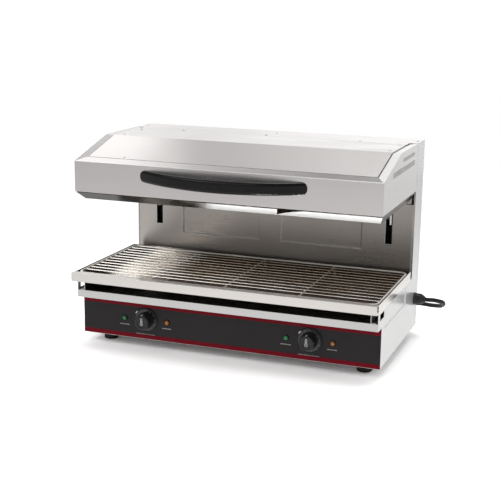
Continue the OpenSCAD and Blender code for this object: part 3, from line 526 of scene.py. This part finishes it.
def channel_steel(name):
    """Dull steel of the tray guides, dark inside and bright along its cut front edge."""
    s = Shader(name, (0.16, 0.155, 0.15), metallic=1.0, roughness=0.5)
    front = s.span(s.place()[1], 1.0, 0.0, *GUIDE_EDGE_Y)
    stains = s.span(s.noise(30.0, 4.0, 0.6), 0, 1)
    dark = s.mix(stains, (0.11, 0.105, 0.10), (0.19, 0.185, 0.18))
    s.link(s.mix(front, dark, (0.75, 0.74, 0.72)), s.bsdf.inputs["Base Color"])
    s.bump(s.noise(500.0), 0.1, 0.0002, 0.0008)
    return s.material


BARE_EDGE = (0.75, 0.62, 0.60)
BARE_EDGE_H = 0.0010


def painted(name, base, rough, speck, depth=0.12, gloss=0.24, cut=None):
    """Powder paint: a fine orange peel, and a slow drift of its gloss. Below the height cut its
    sheet's bare edge shows."""
    s = Shader(name, base, roughness=rough, specular_ior_level=gloss)
    drift = s.noise(6.0, 4.0, 0.6)
    s.link(s.span(drift, rough - 0.06, rough + 0.08), s.bsdf.inputs["Roughness"])
    pale = tuple(c * 1.35 + 0.004 for c in base)
    colour = s.mix(s.span(s.noise(speck, 2.0), 0, 1, 0.4, 0.75), base, pale)
    if cut:
        colour = s.mix(s.below(s.place()[2], cut), colour, BARE_EDGE)
    s.link(colour, s.bsdf.inputs["Base Color"])
    s.bump(s.noise(speck, 2.0), depth, 0.0002)
    return s.material


def moulded(name, base, rough, grain=2600.0, depth=0.15, wear=0.25, sheen=0.4, edge=0.0):
    """Moulded plastic or rubber: a fine spark-eroded grain with shinier, handled patches."""
    s = Shader(name, base, roughness=rough, specular_ior_level=sheen)
    patches = s.noise(22.0, 4.0, 0.6)
    s.link(s.span(patches, rough - wear * 0.4, rough + wear * 0.4), s.bsdf.inputs["Roughness"])
    pale = tuple(c * 1.5 + 0.006 for c in base)
    s.link(s.mix(s.span(patches, 0, 0.6, 0.35, 0.8), base, pale), s.bsdf.inputs["Base Color"])
    s.bump(s.noise(grain, 2.0), depth, 0.0001, edge)
    return s.material


def heated(name, base, rough):
    """A heating tube: dark oxide with straw and blue tints where it has run hot."""
    s = Shader(name, base, metallic=0.85, roughness=rough)
    tint = s.noise(18.0, 4.0, 0.6)
    s.link(s.mix(s.span(tint, 0, 1), base, (0.30, 0.22, 0.15)), s.bsdf.inputs["Base Color"])
    s.link(s.span(s.noise(140.0), rough - 0.1, rough + 0.15), s.bsdf.inputs["Roughness"])
    s.bump(s.noise(900.0), 0.2, 0.0002)
    return s.material


def lens(name, base, node, offset):
    """Tinted clear plastic, which is palest in the middle and dark round its rim. The two lamps of
    the node lie offset to the side of their knobs."""
    s = Shader(name, base, roughness=0.25, transmission_weight=0.2, specular_ior_level=0.3)
    low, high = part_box(node)
    radius = (high.z - low.z) / 2
    x, _, z = s.place()
    across = s.math("SUBTRACT", s.math("ABSOLUTE", s.math("SUBTRACT", x, offset), 0), KNOB_X)
    along = s.math("SUBTRACT", z, (low.z + high.z) / 2)
    off = s.math("SQRT", s.math("ADD", s.both(across, across), s.both(along, along)), 0)
    pale = tuple(min(1, c * 1.8 + 0.03) for c in base)
    middle = s.mix(s.span(s.noise(260.0, 2.0), 0, 1), base, pale)
    s.link(s.mix(s.span(off, 0.0, 1.0, 0.35 * radius, radius), middle, tuple(c * 0.12 for c in base)),
           s.bsdf.inputs["Base Color"])
    s.bump(s.noise(700.0, 1.0), 0.15, 0.0003)
    return s.material


def fibre(name, base):
    """A loose blanket of mineral wool."""
    s = Shader(name, base, roughness=0.95)
    tuft = s.noise(60.0, 6.0, 0.7)
    s.link(s.mix(s.span(tuft, 0, 1), tuple(c * 0.7 for c in base), base), s.bsdf.inputs["Base Color"])
    s.bump(tuft, 0.8, 0.004)
    return s.material


STEEL = (0.67, 0.642, 0.634)
WALL = (0.78, 0.775, 0.77)
MATERIALS = {
    "steel_x": brushed("steel_brushed_across", STEEL, 0.22, "x"),
    "front": brushed("steel_head_front", STEEL, 0.22, "x", patch=ledge_painted_light),
    "cover": brushed("steel_head_cover", STEEL, 0.22, "x", patch=cover_painted_light),
    "lip": brushed("steel_deck", (0.58, 0.57, 0.56), 0.22, "x"),
    "wall": brushed("steel_side_wall", WALL, 0.20, "z", patch=column_return, metal=0.5),
    # the flanges' tones, one for each side, are painted reflections
    "head_left": brushed("steel_head_left", STEEL, 0.24, "y",
                         patch=flange_painted_light((0.42, 0.415, 0.41), (0.60, 0.59, 0.58), STEP_LEFT_W),
                         metal=0.85),
    "head_right": brushed("steel_head_right", STEEL, 0.24, "y",
                          patch=flange_painted_light((1.0, 0.995, 0.99), (0.46, 0.45, 0.445), STEP_RIGHT_W),
                          metal=0.85),
    "mill": brushed("steel_mill_finish", (0.50, 0.47, 0.445), 0.33, "x", depth=0.05, smear=0.08),
    "back": brushed("steel_back_panel", (0.49, 0.455, 0.425), 0.29, "x", 0.03, 0.04, edge=0.0015,
                    patch=press_edges),
    "guide": channel_steel("steel_guide"),
    "bright": polished("steel_bright", (0.72, 0.71, 0.70), 0.10),
    "skirt": skirt_steel("steel_skirt"),
    "pan": pan_steel("steel_pan"),
    "ground": brushed("steel_ground", (0.62, 0.62, 0.63), 0.22, "z", depth=0.04),
    "chrome": polished("wire_bright", WIRE_BRIGHT, 0.12, dents=0.05),
    "wire": wire_steel("wire_rack", True),
    "rod": wire_steel("wire_rack_rods", False, 0.7),
    "frame": wire_steel("wire_rack_frame", False, 0.5),
    "panel": painted("panel_black", (0.013, 0.010, 0.0115), 0.36, 900.0),
    "stripe": painted("stripe_dark_red", (0.185, 0.0022, 0.011), 0.38, 900.0, 0.05, gloss=0.10,
                      cut=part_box("panel_stripes")[0].z + BARE_EDGE_H),
    "strut": painted("strut_black", (0.015, 0.015, 0.016), 0.30, 900.0),
    "plastic": moulded("plastic_black", (0.005, 0.004, 0.0045), 0.22, sheen=0.22, edge=0.0008),
    "knob": moulded("knob_black", (0.010, 0.0095, 0.010), 0.36, wear=0.3),
    "dial": moulded("dial_black", (0.005, 0.0047, 0.005), 0.28, sheen=0.6, edge=0.0012),
    "grip": moulded("handle_black", (0.0045, 0.0036, 0.0036), 0.15, depth=0.04, wear=0.1, sheen=0.2,
                    edge=0.0018),
    "nylon": moulded("nylon_black", (0.012, 0.012, 0.013), 0.42),
    "rubber": moulded("rubber_black", (0.012, 0.012, 0.012), 0.62, 1500.0, 0.3),
    "jacket": moulded("cord_jacket", (0.010, 0.010, 0.010), 0.50, 1800.0, 0.2, sheen=0.3),
    "cream": moulded("terminal_cream", (0.72, 0.69, 0.58), 0.4),
    "brass": polished("pin_brass", (0.80, 0.66, 0.38), 0.2, dents=0.05),
    "green": lens("lens_green", (0.014, 0.26, 0.085), "lamp_lenses_green", -LAMP_OFF),
    "amber": lens("lens_amber", (0.62, 0.19, 0.016), "lamp_lenses_amber", LAMP_OFF),
    "wool": fibre("mineral_wool", (0.30, 0.27, 0.22)),
    "tube": heated("element_oxide", (0.085, 0.07, 0.06), 0.42),
    "ink": moulded("ink_white", (0.72, 0.72, 0.70), 0.5, depth=0.02, wear=0.1),
    "ink_dim": moulded("ink_grey", (0.36, 0.36, 0.35), 0.5, depth=0.02, wear=0.1),
}

NODE_FINISH = {
    "side_panel_left": "wall", "side_panel_right": "wall", "base_plate": "steel_x",
    "control_panel": "panel", "panel_stripes": "stripe", "deck": "lip", "tray_guides": "guide",
    "feet": "rubber", "back_panel": "back", "upper_panel": "mill", "rear_cover": "steel_x",
    "column_top": "steel_x", "column_brace": "mill", "guide_rods": "ground",
    "strut_cylinders": "strut", "thermostats": "ground", "knob_bezels": "dial",
    "lamp_housings": "plastic", "lamp_lenses_green": "green", "lamp_lenses_amber": "amber",
    "terminal_block": "cream", "cable_gland": "nylon", "plug_body": "jacket", "plug_pins": "brass",
    "power_cord": "jacket", "cord_coil": "jacket", "knob_left": "plastic", "knob_right": "plastic",
    "spindle_left": "ground", "spindle_right": "ground", "pan": "pan", "rack_frame": "frame",
    "rack_wires": "wire", "rack_rods": "rod", "head_side_left": "head_left",
    "head_side_right": "head_right", "head_front": "front", "head_cover": "cover",
    "head_rear": "steel_x", "skirt": "skirt", "reflector": "bright", "insulation": "wool",
    "element_left": "tube", "element_right": "tube", "element_hangers": "mill",
    "handle": "grip", "carriages": "ground", "strut_rods": "chrome",
}


def dress_nodes():
    """Gives every CAD node its finish."""
    for name, obj in nodes.items():
        obj.data.materials.clear()
        obj.data.materials.append(MATERIALS[NODE_FINISH[name]])


dress_nodes()


# ---------- printed marks ----------

INK_T = 0.00015
DASH_GAP = 0.0012
# the legends under the green lamp, the amber lamp and the dial: (across, up) from the knob's centre,
# the bars' lengths and their height
LEGENDS = (
    ((-0.0606, -0.0172), (0.006, 0.009, 0.0095), 0.0022),
    ((0.0583, -0.0167), (0.0075, 0.006, 0.009), 0.0022),
    ((-0.0012, -0.0382), (0.013, 0.016, 0.011, 0.0095), 0.0015),
)
# the dial's index is an arc, with angles in degrees from +X
INDEX_R = 0.0312
INDEX_W = 0.0026
INDEX_FROM = 133
INDEX_TO = 149
# the dial's ticks, each fifth one longer
TICKS = 11
TICK_FIRST = 115
TICK_STEP = 27
TICK_NEAR = 0.0245
TICK_FAR = 0.0275
TICK_LONG_FAR = 0.0285
TICK_W = 0.0007


def slab(low, high):
    """The corners and faces of a box."""
    verts = [(x, y, z) for x in (low[0], high[0]) for y in (low[1], high[1]) for z in (low[2], high[2])]
    return verts, [(0, 1, 3, 2), (4, 6, 7, 5), (0, 4, 5, 1), (2, 3, 7, 6), (0, 2, 6, 4), (1, 5, 7, 3)]


def merge(parts):
    """Joins lists of corners and faces into one."""
    verts, faces = [], []
    for some_verts, some_faces in parts:
        start = len(verts)
        verts.extend(some_verts)
        faces.extend(tuple(start + i for i in face) for face in some_faces)
    return verts, faces


def ribbon(points, width, y, closed=False):
    """A flat line of ink through (x, z) points, on a plane that faces forward at y."""
    count = len(points)
    verts = []
    for i, (x, z) in enumerate(points):
        before = points[(i - 1) % count] if closed or i else points[0]
        after = points[(i + 1) % count] if closed or i < count - 1 else points[-1]
        way = Vector((after[0] - before[0], after[1] - before[1])).normalized()
        for side in (-0.5, 0.5):
            for depth in (0, INK_T):
                verts.append((x - way.y * width * side, y - depth, z + way.x * width * side))
    faces = []
    for i in range(count if closed else count - 1):
        a, b = 4 * i, 4 * ((i + 1) % count)
        faces.extend([(a + 1, b + 1, b + 3, a + 3), (a, a + 1, b + 1, b), (a + 2, b + 2, b + 3, a + 3)])
    return verts, faces


def arc(centre, radius, start, stop, steps=12):
    """(x, z) points along an arc, with angles in degrees from +X."""
    return [(centre[0] + radius * math.cos(math.radians(start + (stop - start) * k / steps)),
             centre[1] + radius * math.sin(math.radians(start + (stop - start) * k / steps)))
            for k in range(steps + 1)]


def dashes(x, z, lengths, height, y):
    """A row of short bars centred on x, which stands for a printed legend."""
    at = x - (sum(lengths) + DASH_GAP * (len(lengths) - 1)) / 2
    parts = []
    for length in lengths:
        parts.append(slab((at, y - INK_T, z - height / 2), (at + length, y, z + height / 2)))
        at += length + DASH_GAP
    return parts


def make_marks():
    """The legends on the panel, and each dial's index and ticks."""
    panel_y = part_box("control_panel")[0].y
    ring_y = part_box("knob_bezels")[0].y
    for side, x in (("left", -KNOB_X), ("right", KNOB_X)):
        legends = []
        for (across, up), lengths, height in LEGENDS:
            legends += dashes(x + across, KNOB_Z + up, lengths, height, panel_y)
        add_mesh("legends_" + side, *merge(legends), MATERIALS["ink_dim"], "base", smooth=False)
        index = ribbon(arc((x, KNOB_Z), INDEX_R, INDEX_FROM, INDEX_TO), INDEX_W, ring_y)
        add_mesh("dial_index_" + side, *index, MATERIALS["ink"], "base", smooth=False)
        ticks = []
        for k in range(TICKS):
            angle = math.radians(TICK_FIRST - TICK_STEP * k)
            far = TICK_FAR if k % 5 else TICK_LONG_FAR
            ends = [(x + r * math.cos(angle), KNOB_Z + r * math.sin(angle)) for r in (TICK_NEAR, far)]
            ticks.append(ribbon(ends, TICK_W, ring_y + BEZEL_RIM))
        add_mesh("dial_ticks_" + side, *merge(ticks), MATERIALS["ink_dim"], "base", smooth=False)


make_marks()


# ---------- knobs ----------

KNOB_STEPS = 240
# the fluted grip: its rings' first height and spacing, its step in from the foot, and its taper
GRIP_LOW = 0.0045
GRIP_STEP = 0.0012
GRIP_RINGS = 15
GRIP_IN = 0.0011
GRIP_TAPER = 0.0009
GRIP_SPAN = 0.017
FLUTES = 20
FLUTE_DEPTH = 0.030
FLUTE_CURVE = 0.7
# the face lies behind the knob's rim by this
FACE_IN = 0.0005
# the pictogram, a thermometer: heights from the knob's centre, radii and widths of its lines
BULB_Z = -0.0040
BULB_R = 0.0034
TUBE_Z = 0.0095
TUBE_R = 0.0019
OUTLINE_W = 0.0011
COLUMN_Z = (-0.0045, 0.0060)
COLUMN_W = 0.0009
# the pointer: half its width, its place below the knob's top edge, its reach behind the knob's
# front, and its reach down and up
POINTER_HALF = 0.0014
POINTER_IN = 0.0023
POINTER_Y = (0.0012, 0.0075)
POINTER_Z = (-0.001, 0.0006)


def make_knob(side, x):
    """The knob with its fluted grip, in place of the plain one, with its pointer and pictogram."""
    low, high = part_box("knob_" + side)
    radius = (high.x - low.x) / 2
    length = high.y - low.y
    grip = [GRIP_LOW + GRIP_STEP * k for k in range(GRIP_RINGS)]
    profile = [(0.0035, 0.0), (radius, 0.0), (radius, 0.0022), (radius - 0.0004, 0.0027),
               (radius - GRIP_IN, 0.0040)]
    fluted_from = len(profile)
    profile += [(radius - GRIP_IN - GRIP_TAPER * (h - GRIP_LOW) / GRIP_SPAN, h) for h in grip]
    fluted_to = len(profile)
    profile += [(radius - 0.0021, length - 0.0026), (radius - 0.0024, length - 0.0014),
                (radius - 0.0031, length - 0.0006), (radius - 0.0043, length - 0.0001),
                (radius - 0.0055, length), (0.0142, length), (0.0136, length - 0.0004),
                (0.0133, length - FACE_IN), (0.004, length - FACE_IN)]

    def flutes(angle, index):
        if not fluted_from <= index < fluted_to:
            return 1.0
        ends = min(index - fluted_from, fluted_to - 1 - index, 2) / 2
        return 1.0 - FLUTE_DEPTH * ends * max(0.0, math.cos(FLUTES * angle)) ** FLUTE_CURVE

    verts, faces = turn_profile(profile, (x, high.y, KNOB_Z), (0, -1, 0), KNOB_STEPS, flutes)
    faces.append(tuple(range(KNOB_STEPS))[::-1])
    faces.append(end_cap(profile, KNOB_STEPS))
    knob = add_mesh("knob_grip_" + side, verts, faces, MATERIALS["knob"], side + "_control",
                    slot="black_plastic")
    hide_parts("knob_" + side)
    face_y = low.y + FACE_IN
    bulb = arc((x, KNOB_Z + BULB_Z), BULB_R, 125, 415, 20)
    tip = arc((x, KNOB_Z + TUBE_Z), TUBE_R, 0, 180, 8)
    outline = ribbon(tip + bulb, OUTLINE_W, face_y, closed=True)
    column = ribbon([(x, KNOB_Z + z) for z in COLUMN_Z], COLUMN_W, face_y)
    add_mesh("knob_sign_" + side, *merge([outline, column]), MATERIALS["ink"], side + "_control",
             smooth=False)
    top = KNOB_Z + radius - POINTER_IN
    bar = slab((x - POINTER_HALF, low.y + POINTER_Y[0], top + POINTER_Z[0]),
               (x + POINTER_HALF, low.y + POINTER_Y[1], top + POINTER_Z[1]))
    add_mesh("knob_pointer_" + side, *bar, MATERIALS["ink"], side + "_control", smooth=False)


make_knob("left", -KNOB_X)
make_knob("right", KNOB_X)


# ---------- screws ----------


SCREW_STEPS = 24
# radius and height of the heads
SCREW = (0.0032, 0.0016)
REAR_SCREW = (0.0035, 0.0020)
# from the edges of the covers at the rear and on the column
SCREW_IN = 0.011
# how far the head's slope reaches back from its front
SLOPE_DEPTH = 0.175
SLOPE_SCREWS = ((-0.280, -0.158), (0.273, -0.158))
TOP_SCREWS = ((-0.362, 0.006), (-0.362, 0.112), (0.362, 0.006), (0.362, 0.112), (-0.009, 0.145),
              (-0.25, 0.145), (0.25, 0.145))


def screw_heads(name, places, radius, height, body):
    """Pan-head screws with a round recess. places holds (position, outward direction) pairs."""
    profile = [(radius, 0.0), (radius, 0.25 * height), (0.86 * radius, 0.72 * height),
               (0.62 * radius, 0.95 * height), (0.46 * radius, height), (0.42 * radius, 0.9 * height),
               (0.40 * radius, 0.3 * height)]
    parts = []
    for at, out in places:
        verts, faces = turn_profile(profile, at, out, SCREW_STEPS)
        parts.append((verts, faces + [end_cap(profile, SCREW_STEPS)]))
    add_mesh(name, *merge(parts), MATERIALS["ground"], body)


def make_screws():
    """The screws on the head's slope and top, on the rear cover and on the column's top."""
    front_low, front_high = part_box("head_front")
    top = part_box("head_cover")[1].z
    slope_y = front_low.y + SLOPE_DEPTH
    rise = (top - front_high.z) / (slope_y - front_high.y)
    slope_out = Vector((0, -rise, 1)).normalized()
    head = [(Vector((x, y, top - (slope_y - y) * rise)), slope_out) for x, y in SLOPE_SCREWS]
    head += [(Vector((x, y, top)), (0, 0, 1)) for x, y in TOP_SCREWS]
    screw_heads("head_screws", head, *SCREW, "lift_head")
    low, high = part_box("rear_cover")
    spread = [low.x + SCREW_IN + k * (high.x - low.x - 2 * SCREW_IN) / 4 for k in range(5)]
    rear = [(Vector((x, high.y, z)), (0, 1, 0)) for x in spread
            for z in (low.z + SCREW_IN, high.z - SCREW_IN)]
    rear += [(Vector((x, high.y, (low.z + high.z) / 2)), (0, 1, 0)) for x in (spread[0], spread[-1])]
    screw_heads("rear_screws", rear, *REAR_SCREW, "base")
    low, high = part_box("column_top")
    lids = [(Vector((x, (low.y + high.y) / 2, high.z)), (0, 0, 1))
            for x in (low.x + SCREW_IN, 0.0, high.x - SCREW_IN)]
    screw_heads("column_screws", lids, *SCREW, "base")


make_screws()


# ---------- welds of the rack ----------


# the beads at the wires' ends lie this far inside the frame's outer edge
FRAME_IN = 0.0060
# half sizes of the beads at the wires' ends and over the rods
END_WELD = (0.0022, 0.0027, 0.0025)
ROD_WELD = (0.0031, 0.0029, 0.0012)
WELD_RINGS = 5
WELD_SIDES = 8


def bead(centre, size):
    """The corners and faces of a weld's rounded bead."""
    verts = []
    for ring in range(WELD_RINGS + 1):
        lift = math.pi * ring / WELD_RINGS
        for k in range(WELD_SIDES):
            a = 2 * math.pi * k / WELD_SIDES
            verts.append((centre[0] + size[0] * math.sin(lift) * math.cos(a),
                          centre[1] + size[1] * math.sin(lift) * math.sin(a),
                          centre[2] + size[2] * math.cos(lift)))
    return verts, ring_faces(WELD_RINGS + 1, WELD_SIDES)


def make_welds():
    """Small fused beads where the wires meet the frame and the rods."""
    frame_low, frame_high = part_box("rack_frame")
    wires_low, wires_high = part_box("rack_wires")
    rods_low, rods_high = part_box("rack_rods")
    count = round((wires_high.y - wires_low.y - 2 * WIRE_R) / WIRE_PITCH) + 1
    wire_z = (wires_low.z + wires_high.z) / 2
    parts = []
    for i in range(count):
        y = wires_low.y + WIRE_R + i * WIRE_PITCH
        for x in (frame_low.x + FRAME_IN, frame_high.x - FRAME_IN):
            parts.append(bead((x, y, wire_z), END_WELD))
        for x in (rods_low.x + ROD_R, 0.0, rods_high.x - ROD_R):
            parts.append(bead((x, y, wire_z - WIRE_R), ROD_WELD))
    add_mesh("rack_welds", *merge(parts), MATERIALS["wire"], "grid", slot="chrome_wire")


make_welds()


# ---------- mains lead ----------

# the lead's route in mm from the gland's mouth: to the right, back and down
CORD_STEPS = [
    (0, 0, 0), (5, 0, 0), (10, 0, 0), (17, 1, 0), (26, 5, 1), (36, 14, 5), (43, 26, 10),
    (43, 42, 20), (34, 57, 29), (19, 70, 34), (0, 80, 37), (-22, 88, 38), (-47, 93, 41),
    (-76, 94, 52), (-106, 90, 68), (-136, 83, 85), (-166, 75, 98), (-198, 70, 103), (-230, 69, 103),
]
# its way in mm from the coil's end to the plug: to the right and back
LEAD_STEPS = [(0, 0), (-18, 0), (-36, 1), (-54, 3), (-72, 4), (-84, 4), (-96, 4)]
COIL_R = 0.055
COIL_TURNS = 3
COIL_POINTS = 24
# the last turn lies on the two others, this share of the lead's thickness higher
PILED = 0.87
# the part of a turn after which the lead moves over to the next one
SHIFT_FROM = 0.75
PLUG_R = 0.018


def cord_points():
    """The lead's centreline: out of the gland, down behind the column, three turns, then the plug."""
    low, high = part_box("cable_gland")
    start = Vector((high.x, (low.y + high.y) / 2, (low.z + high.z) / 2))
    floor_z = CORD_D / 2
    route = [Vector((start.x + x / 1000, start.y + y / 1000, max(floor_z, start.z - drop / 1000)))
             for x, y, drop in CORD_STEPS]
    path = catmull(route, 3)
    end = route[-1]
    centre = Vector((end.x, end.y + COIL_R + CORD_D / 2, 0))
    top_z = floor_z + PILED * CORD_D
    radii = [COIL_R + CORD_D / 2, COIL_R - CORD_D / 2, COIL_R]
    heights = [floor_z, floor_z, top_z]
    last = COIL_TURNS - 1
    for k in range(1, COIL_TURNS * COIL_POINTS + 1):
        place = k / COIL_POINTS
        turn = min(int(place), last)
        part = place - turn
        near = max(0.0, (part - SHIFT_FROM) / (1 - SHIFT_FROM)) if turn < last else 0.0
        near = near * near * (3 - 2 * near)
        after = min(turn + 1, last)
        radius = radii[turn] * (1 - near) + radii[after] * near
        height = heights[turn] * (1 - near) + heights[after] * near
        angle = -math.pi / 2 - 2 * math.pi * place
        path.append(centre + Vector((radius * math.cos(angle), radius * math.sin(angle), height)))
    lead = [Vector((centre.x + x / 1000, centre.y - COIL_R + y / 1000,
                    top_z + (PLUG_R - top_z) * min(1, i / 4))) for i, (x, y) in enumerate(LEAD_STEPS)]
    path.extend(catmull(lead, 2)[1:])
    return start, path


def make_cord():
    """The mains lead as one smooth cord, in place of its two CAD nodes."""
    start, path = cord_points()
    data = bpy.data.curves.new("mains_lead", "CURVE")
    data.dimensions = "3D"
    data.bevel_depth = CORD_D / 2
    data.bevel_resolution = 5
    data.use_fill_caps = True
    spline = data.splines.new("POLY")
    spline.points.add(len(path) - 1)
    for point, at in zip(spline.points, path):
        point.co = (*at, 1)
    spline.use_smooth = True
    data.materials.append(MATERIALS["jacket"])
    cord = bpy.data.objects.new("mains_lead", data)
    bpy.context.scene.collection.objects.link(cord)
    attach(cord, "base")
    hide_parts("power_cord", "cord_coil")


make_cord()


# ---------- floor, backdrop and light ----------


# how bright the floor is for light that bounces, and as the camera sees it
FLOOR_LIT = (0.9, 1.76)
# the floor melts into the white background between these distances from the middle
MELT = (0.6, 1.3)
MELTED_STRENGTH = 1.1
# metal mirrors the floor with the first strength near the middle and the second far off
MIRROR_REACH = (0.5, 2.2)
MIRROR_STRENGTH = (1.12, 0.76)
# the painted shadow under the body, in the floor as metal mirrors it: its middle, and where it fades out to
# the sides and along Y
BODY_MID_Y = 0.043
UNDER_SHADOW_X = (0.36, 0.42)
UNDER_SHADOW_Y = (0.17, 0.23)
FLOOR_HALF = 3.0


def ramp(tree, value, start, end, low, high):
    """Goes smoothly from low to high as the value goes from start to end."""
    made = tree.nodes.new("ShaderNodeMapRange")
    made.interpolation_type = "SMOOTHSTEP"
    for key, number in zip(("From Min", "From Max", "To Min", "To Max"), (start, end, low, high)):
        made.inputs[key].default_value = number
    tree.links.new(value, made.inputs["Value"])
    return made.outputs["Result"]


def combine(tree, operation, a, b=0.0):
    """A maths node on sockets or numbers."""
    made = tree.nodes.new("ShaderNodeMath")
    made.operation = operation
    for socket, value in zip(made.inputs, (a, b)):
        if isinstance(value, float):
            socket.default_value = value
        else:
            tree.links.new(value, socket)
    return made.outputs[0]


def blend_shaders(tree, share, first, second):
    """Shows the first shader where share is 0 and the second where it is 1."""
    made = tree.nodes.new("ShaderNodeMixShader")
    tree.links.new(share, made.inputs["Fac"])
    tree.links.new(first.outputs[0], made.inputs[1])
    tree.links.new(second.outputs[0], made.inputs[2])
    return made


def floor_material():
    """White that keeps the object's soft shadow and melts into the background. Metal mirrors it as
    evenly lit, with a painted shadow under the body."""
    material = bpy.data.materials.new("floor_white")
    material.use_nodes = True
    tree = material.node_tree
    tree.nodes.clear()
    path = tree.nodes.new("ShaderNodeLightPath").outputs
    place = tree.nodes.new("ShaderNodeTexCoord").outputs["Object"]
    reach = tree.nodes.new("ShaderNodeVectorMath")
    reach.operation = "LENGTH"
    tree.links.new(place, reach.inputs[0])
    away = reach.outputs["Value"]
    plain = tree.nodes.new("ShaderNodeBsdfDiffuse")
    tree.links.new(ramp(tree, path["Is Camera Ray"], 0.0, 1.0, *FLOOR_LIT), plain.inputs["Color"])
    melted = tree.nodes.new("ShaderNodeEmission")
    melted.inputs["Strength"].default_value = MELTED_STRENGTH
    share = combine(tree, "MULTIPLY", path["Is Camera Ray"], ramp(tree, away, *MELT, 0.0, 1.0))
    seen = blend_shaders(tree, share, plain, melted)
    split = tree.nodes.new("ShaderNodeSeparateXYZ")
    tree.links.new(place, split.inputs[0])
    across = combine(tree, "ABSOLUTE", split.outputs["X"])
    along = combine(tree, "ABSOLUTE", combine(tree, "SUBTRACT", split.outputs["Y"], BODY_MID_Y))
    open_floor = combine(tree, "MAXIMUM", ramp(tree, across, *UNDER_SHADOW_X, 0.0, 1.0),
                         ramp(tree, along, *UNDER_SHADOW_Y, 0.0, 1.0))
    mirrored = tree.nodes.new("ShaderNodeEmission")
    bright = ramp(tree, away, *MIRROR_REACH, *MIRROR_STRENGTH)
    tree.links.new(combine(tree, "MULTIPLY", open_floor, bright), mirrored.inputs["Strength"])
    off_metal = combine(tree, "MAXIMUM", path["Is Glossy Ray"], path["Is Transmission Ray"])
    both = blend_shaders(tree, off_metal, seen, mirrored)
    out = tree.nodes.new("ShaderNodeOutputMaterial")
    tree.links.new(both.outputs[0], out.inputs["Surface"])
    return material


def make_floor():
    """A square floor round the object."""
    half = FLOOR_HALF
    data = bpy.data.meshes.new("floor")
    data.from_pydata([(-half, -half, 0), (half, -half, 0), (half, half, 0), (-half, half, 0)], [],
                     [(0, 1, 2, 3)])
    data.materials.append(floor_material())
    floor = bpy.data.objects.new("floor", data)
    bpy.context.scene.collection.objects.link(floor)


# the room's brightness: (start, end, low, high) of a direction's Y, then factors on Z and twice on X
ROOM_Y = (-0.6, 0.9, 0.50, 1.25)
ROOM_Z = (0.12, 0.55, 1.0, 0.55)
ROOM_X = ((-0.40, -0.28, 1.0, 1.16), (-0.10, 0.12, 1.0, 0.62))


def make_world():
    """A white studio: pure white behind the object, and for its reflections a bright horizon at
    the back that darkens upwards and towards the front."""
    world = bpy.data.worlds.new("studio")
    bpy.context.scene.world = world
    world.use_nodes = True
    tree = world.node_tree
    tree.nodes.clear()
    out = tree.nodes.new("ShaderNodeOutputWorld")
    room = tree.nodes.new("ShaderNodeBackground")
    white = tree.nodes.new("ShaderNodeBackground")
    coords = tree.nodes.new("ShaderNodeTexCoord")
    split = tree.nodes.new("ShaderNodeSeparateXYZ")
    path = tree.nodes.new("ShaderNodeLightPath")
    tree.links.new(coords.outputs["Generated"], split.inputs[0])
    x, y, z = split.outputs
    strength = ramp(tree, y, *ROOM_Y)
    for factor in (ramp(tree, z, *ROOM_Z), *(ramp(tree, x, *row) for row in ROOM_X)):
        strength = combine(tree, "MULTIPLY", strength, factor)
    tree.links.new(strength, room.inputs["Strength"])
    room.inputs["Color"].default_value = (1, 1, 1, 1)
    white.inputs["Color"].default_value = (1, 1, 1, 1)
    white.inputs["Strength"].default_value = 1.0
    mix = blend_shaders(tree, path.outputs["Is Camera Ray"], room, white)
    tree.links.new(mix.outputs[0], out.inputs["Surface"])


def softbox(name, at, towards, size, radiance, beam=None):
    """A rectangular soft light whose face has the given radiance. One with a beam, in degrees, is
    a narrow light that the camera doesn't see."""
    data = bpy.data.lights.new(name, "AREA")
    data.shape = "RECTANGLE"
    data.size, data.size_y = size
    data.energy = radiance * math.pi * size[0] * size[1]
    lamp = bpy.data.objects.new(name, data)
    bpy.context.scene.collection.objects.link(lamp)
    if beam:
        data.spread = math.radians(beam)
        lamp.visible_camera = False
    lamp.location = at
    lamp.rotation_euler = (Vector(towards) - Vector(at)).to_track_quat("-Z", "Y").to_euler()


# name, place, what it points at, size, radiance and, for a narrow light, its beam in degrees
SOFTBOXES = (
    ("key_softbox", (-1.6, -1.6, 2.4), (0, 0, 0.3), (1.6, 1.2), 1.8),
    ("front_softbox", (-0.6, -1.75, 1.6), (0, 0, 0.2), (1.8, 0.5), 2.0),
    ("overhead_softbox", (0.25, 0.20, 2.7), (0, 0, 0.3), (1.6, 1.2), 5.0),
    ("slope_softbox", (-2.33, 1.98, 2.2), (-0.3, 0, 0.5), (1.7, 1.3), 1.08),
    ("fill_softbox", (2.2, -0.8, 1.8), (0, 0, 0.3), (1.4, 1.4), 1.2),
    ("low_softbox", (0.10, -0.42, 0.02), (0.10, -0.22, 0.38), (1.1, 0.04), 1.7, 16),
)

make_floor()
make_world()
for row in SOFTBOXES:
    softbox(*row)
bpy.context.scene.view_settings.view_transform = "Standard"
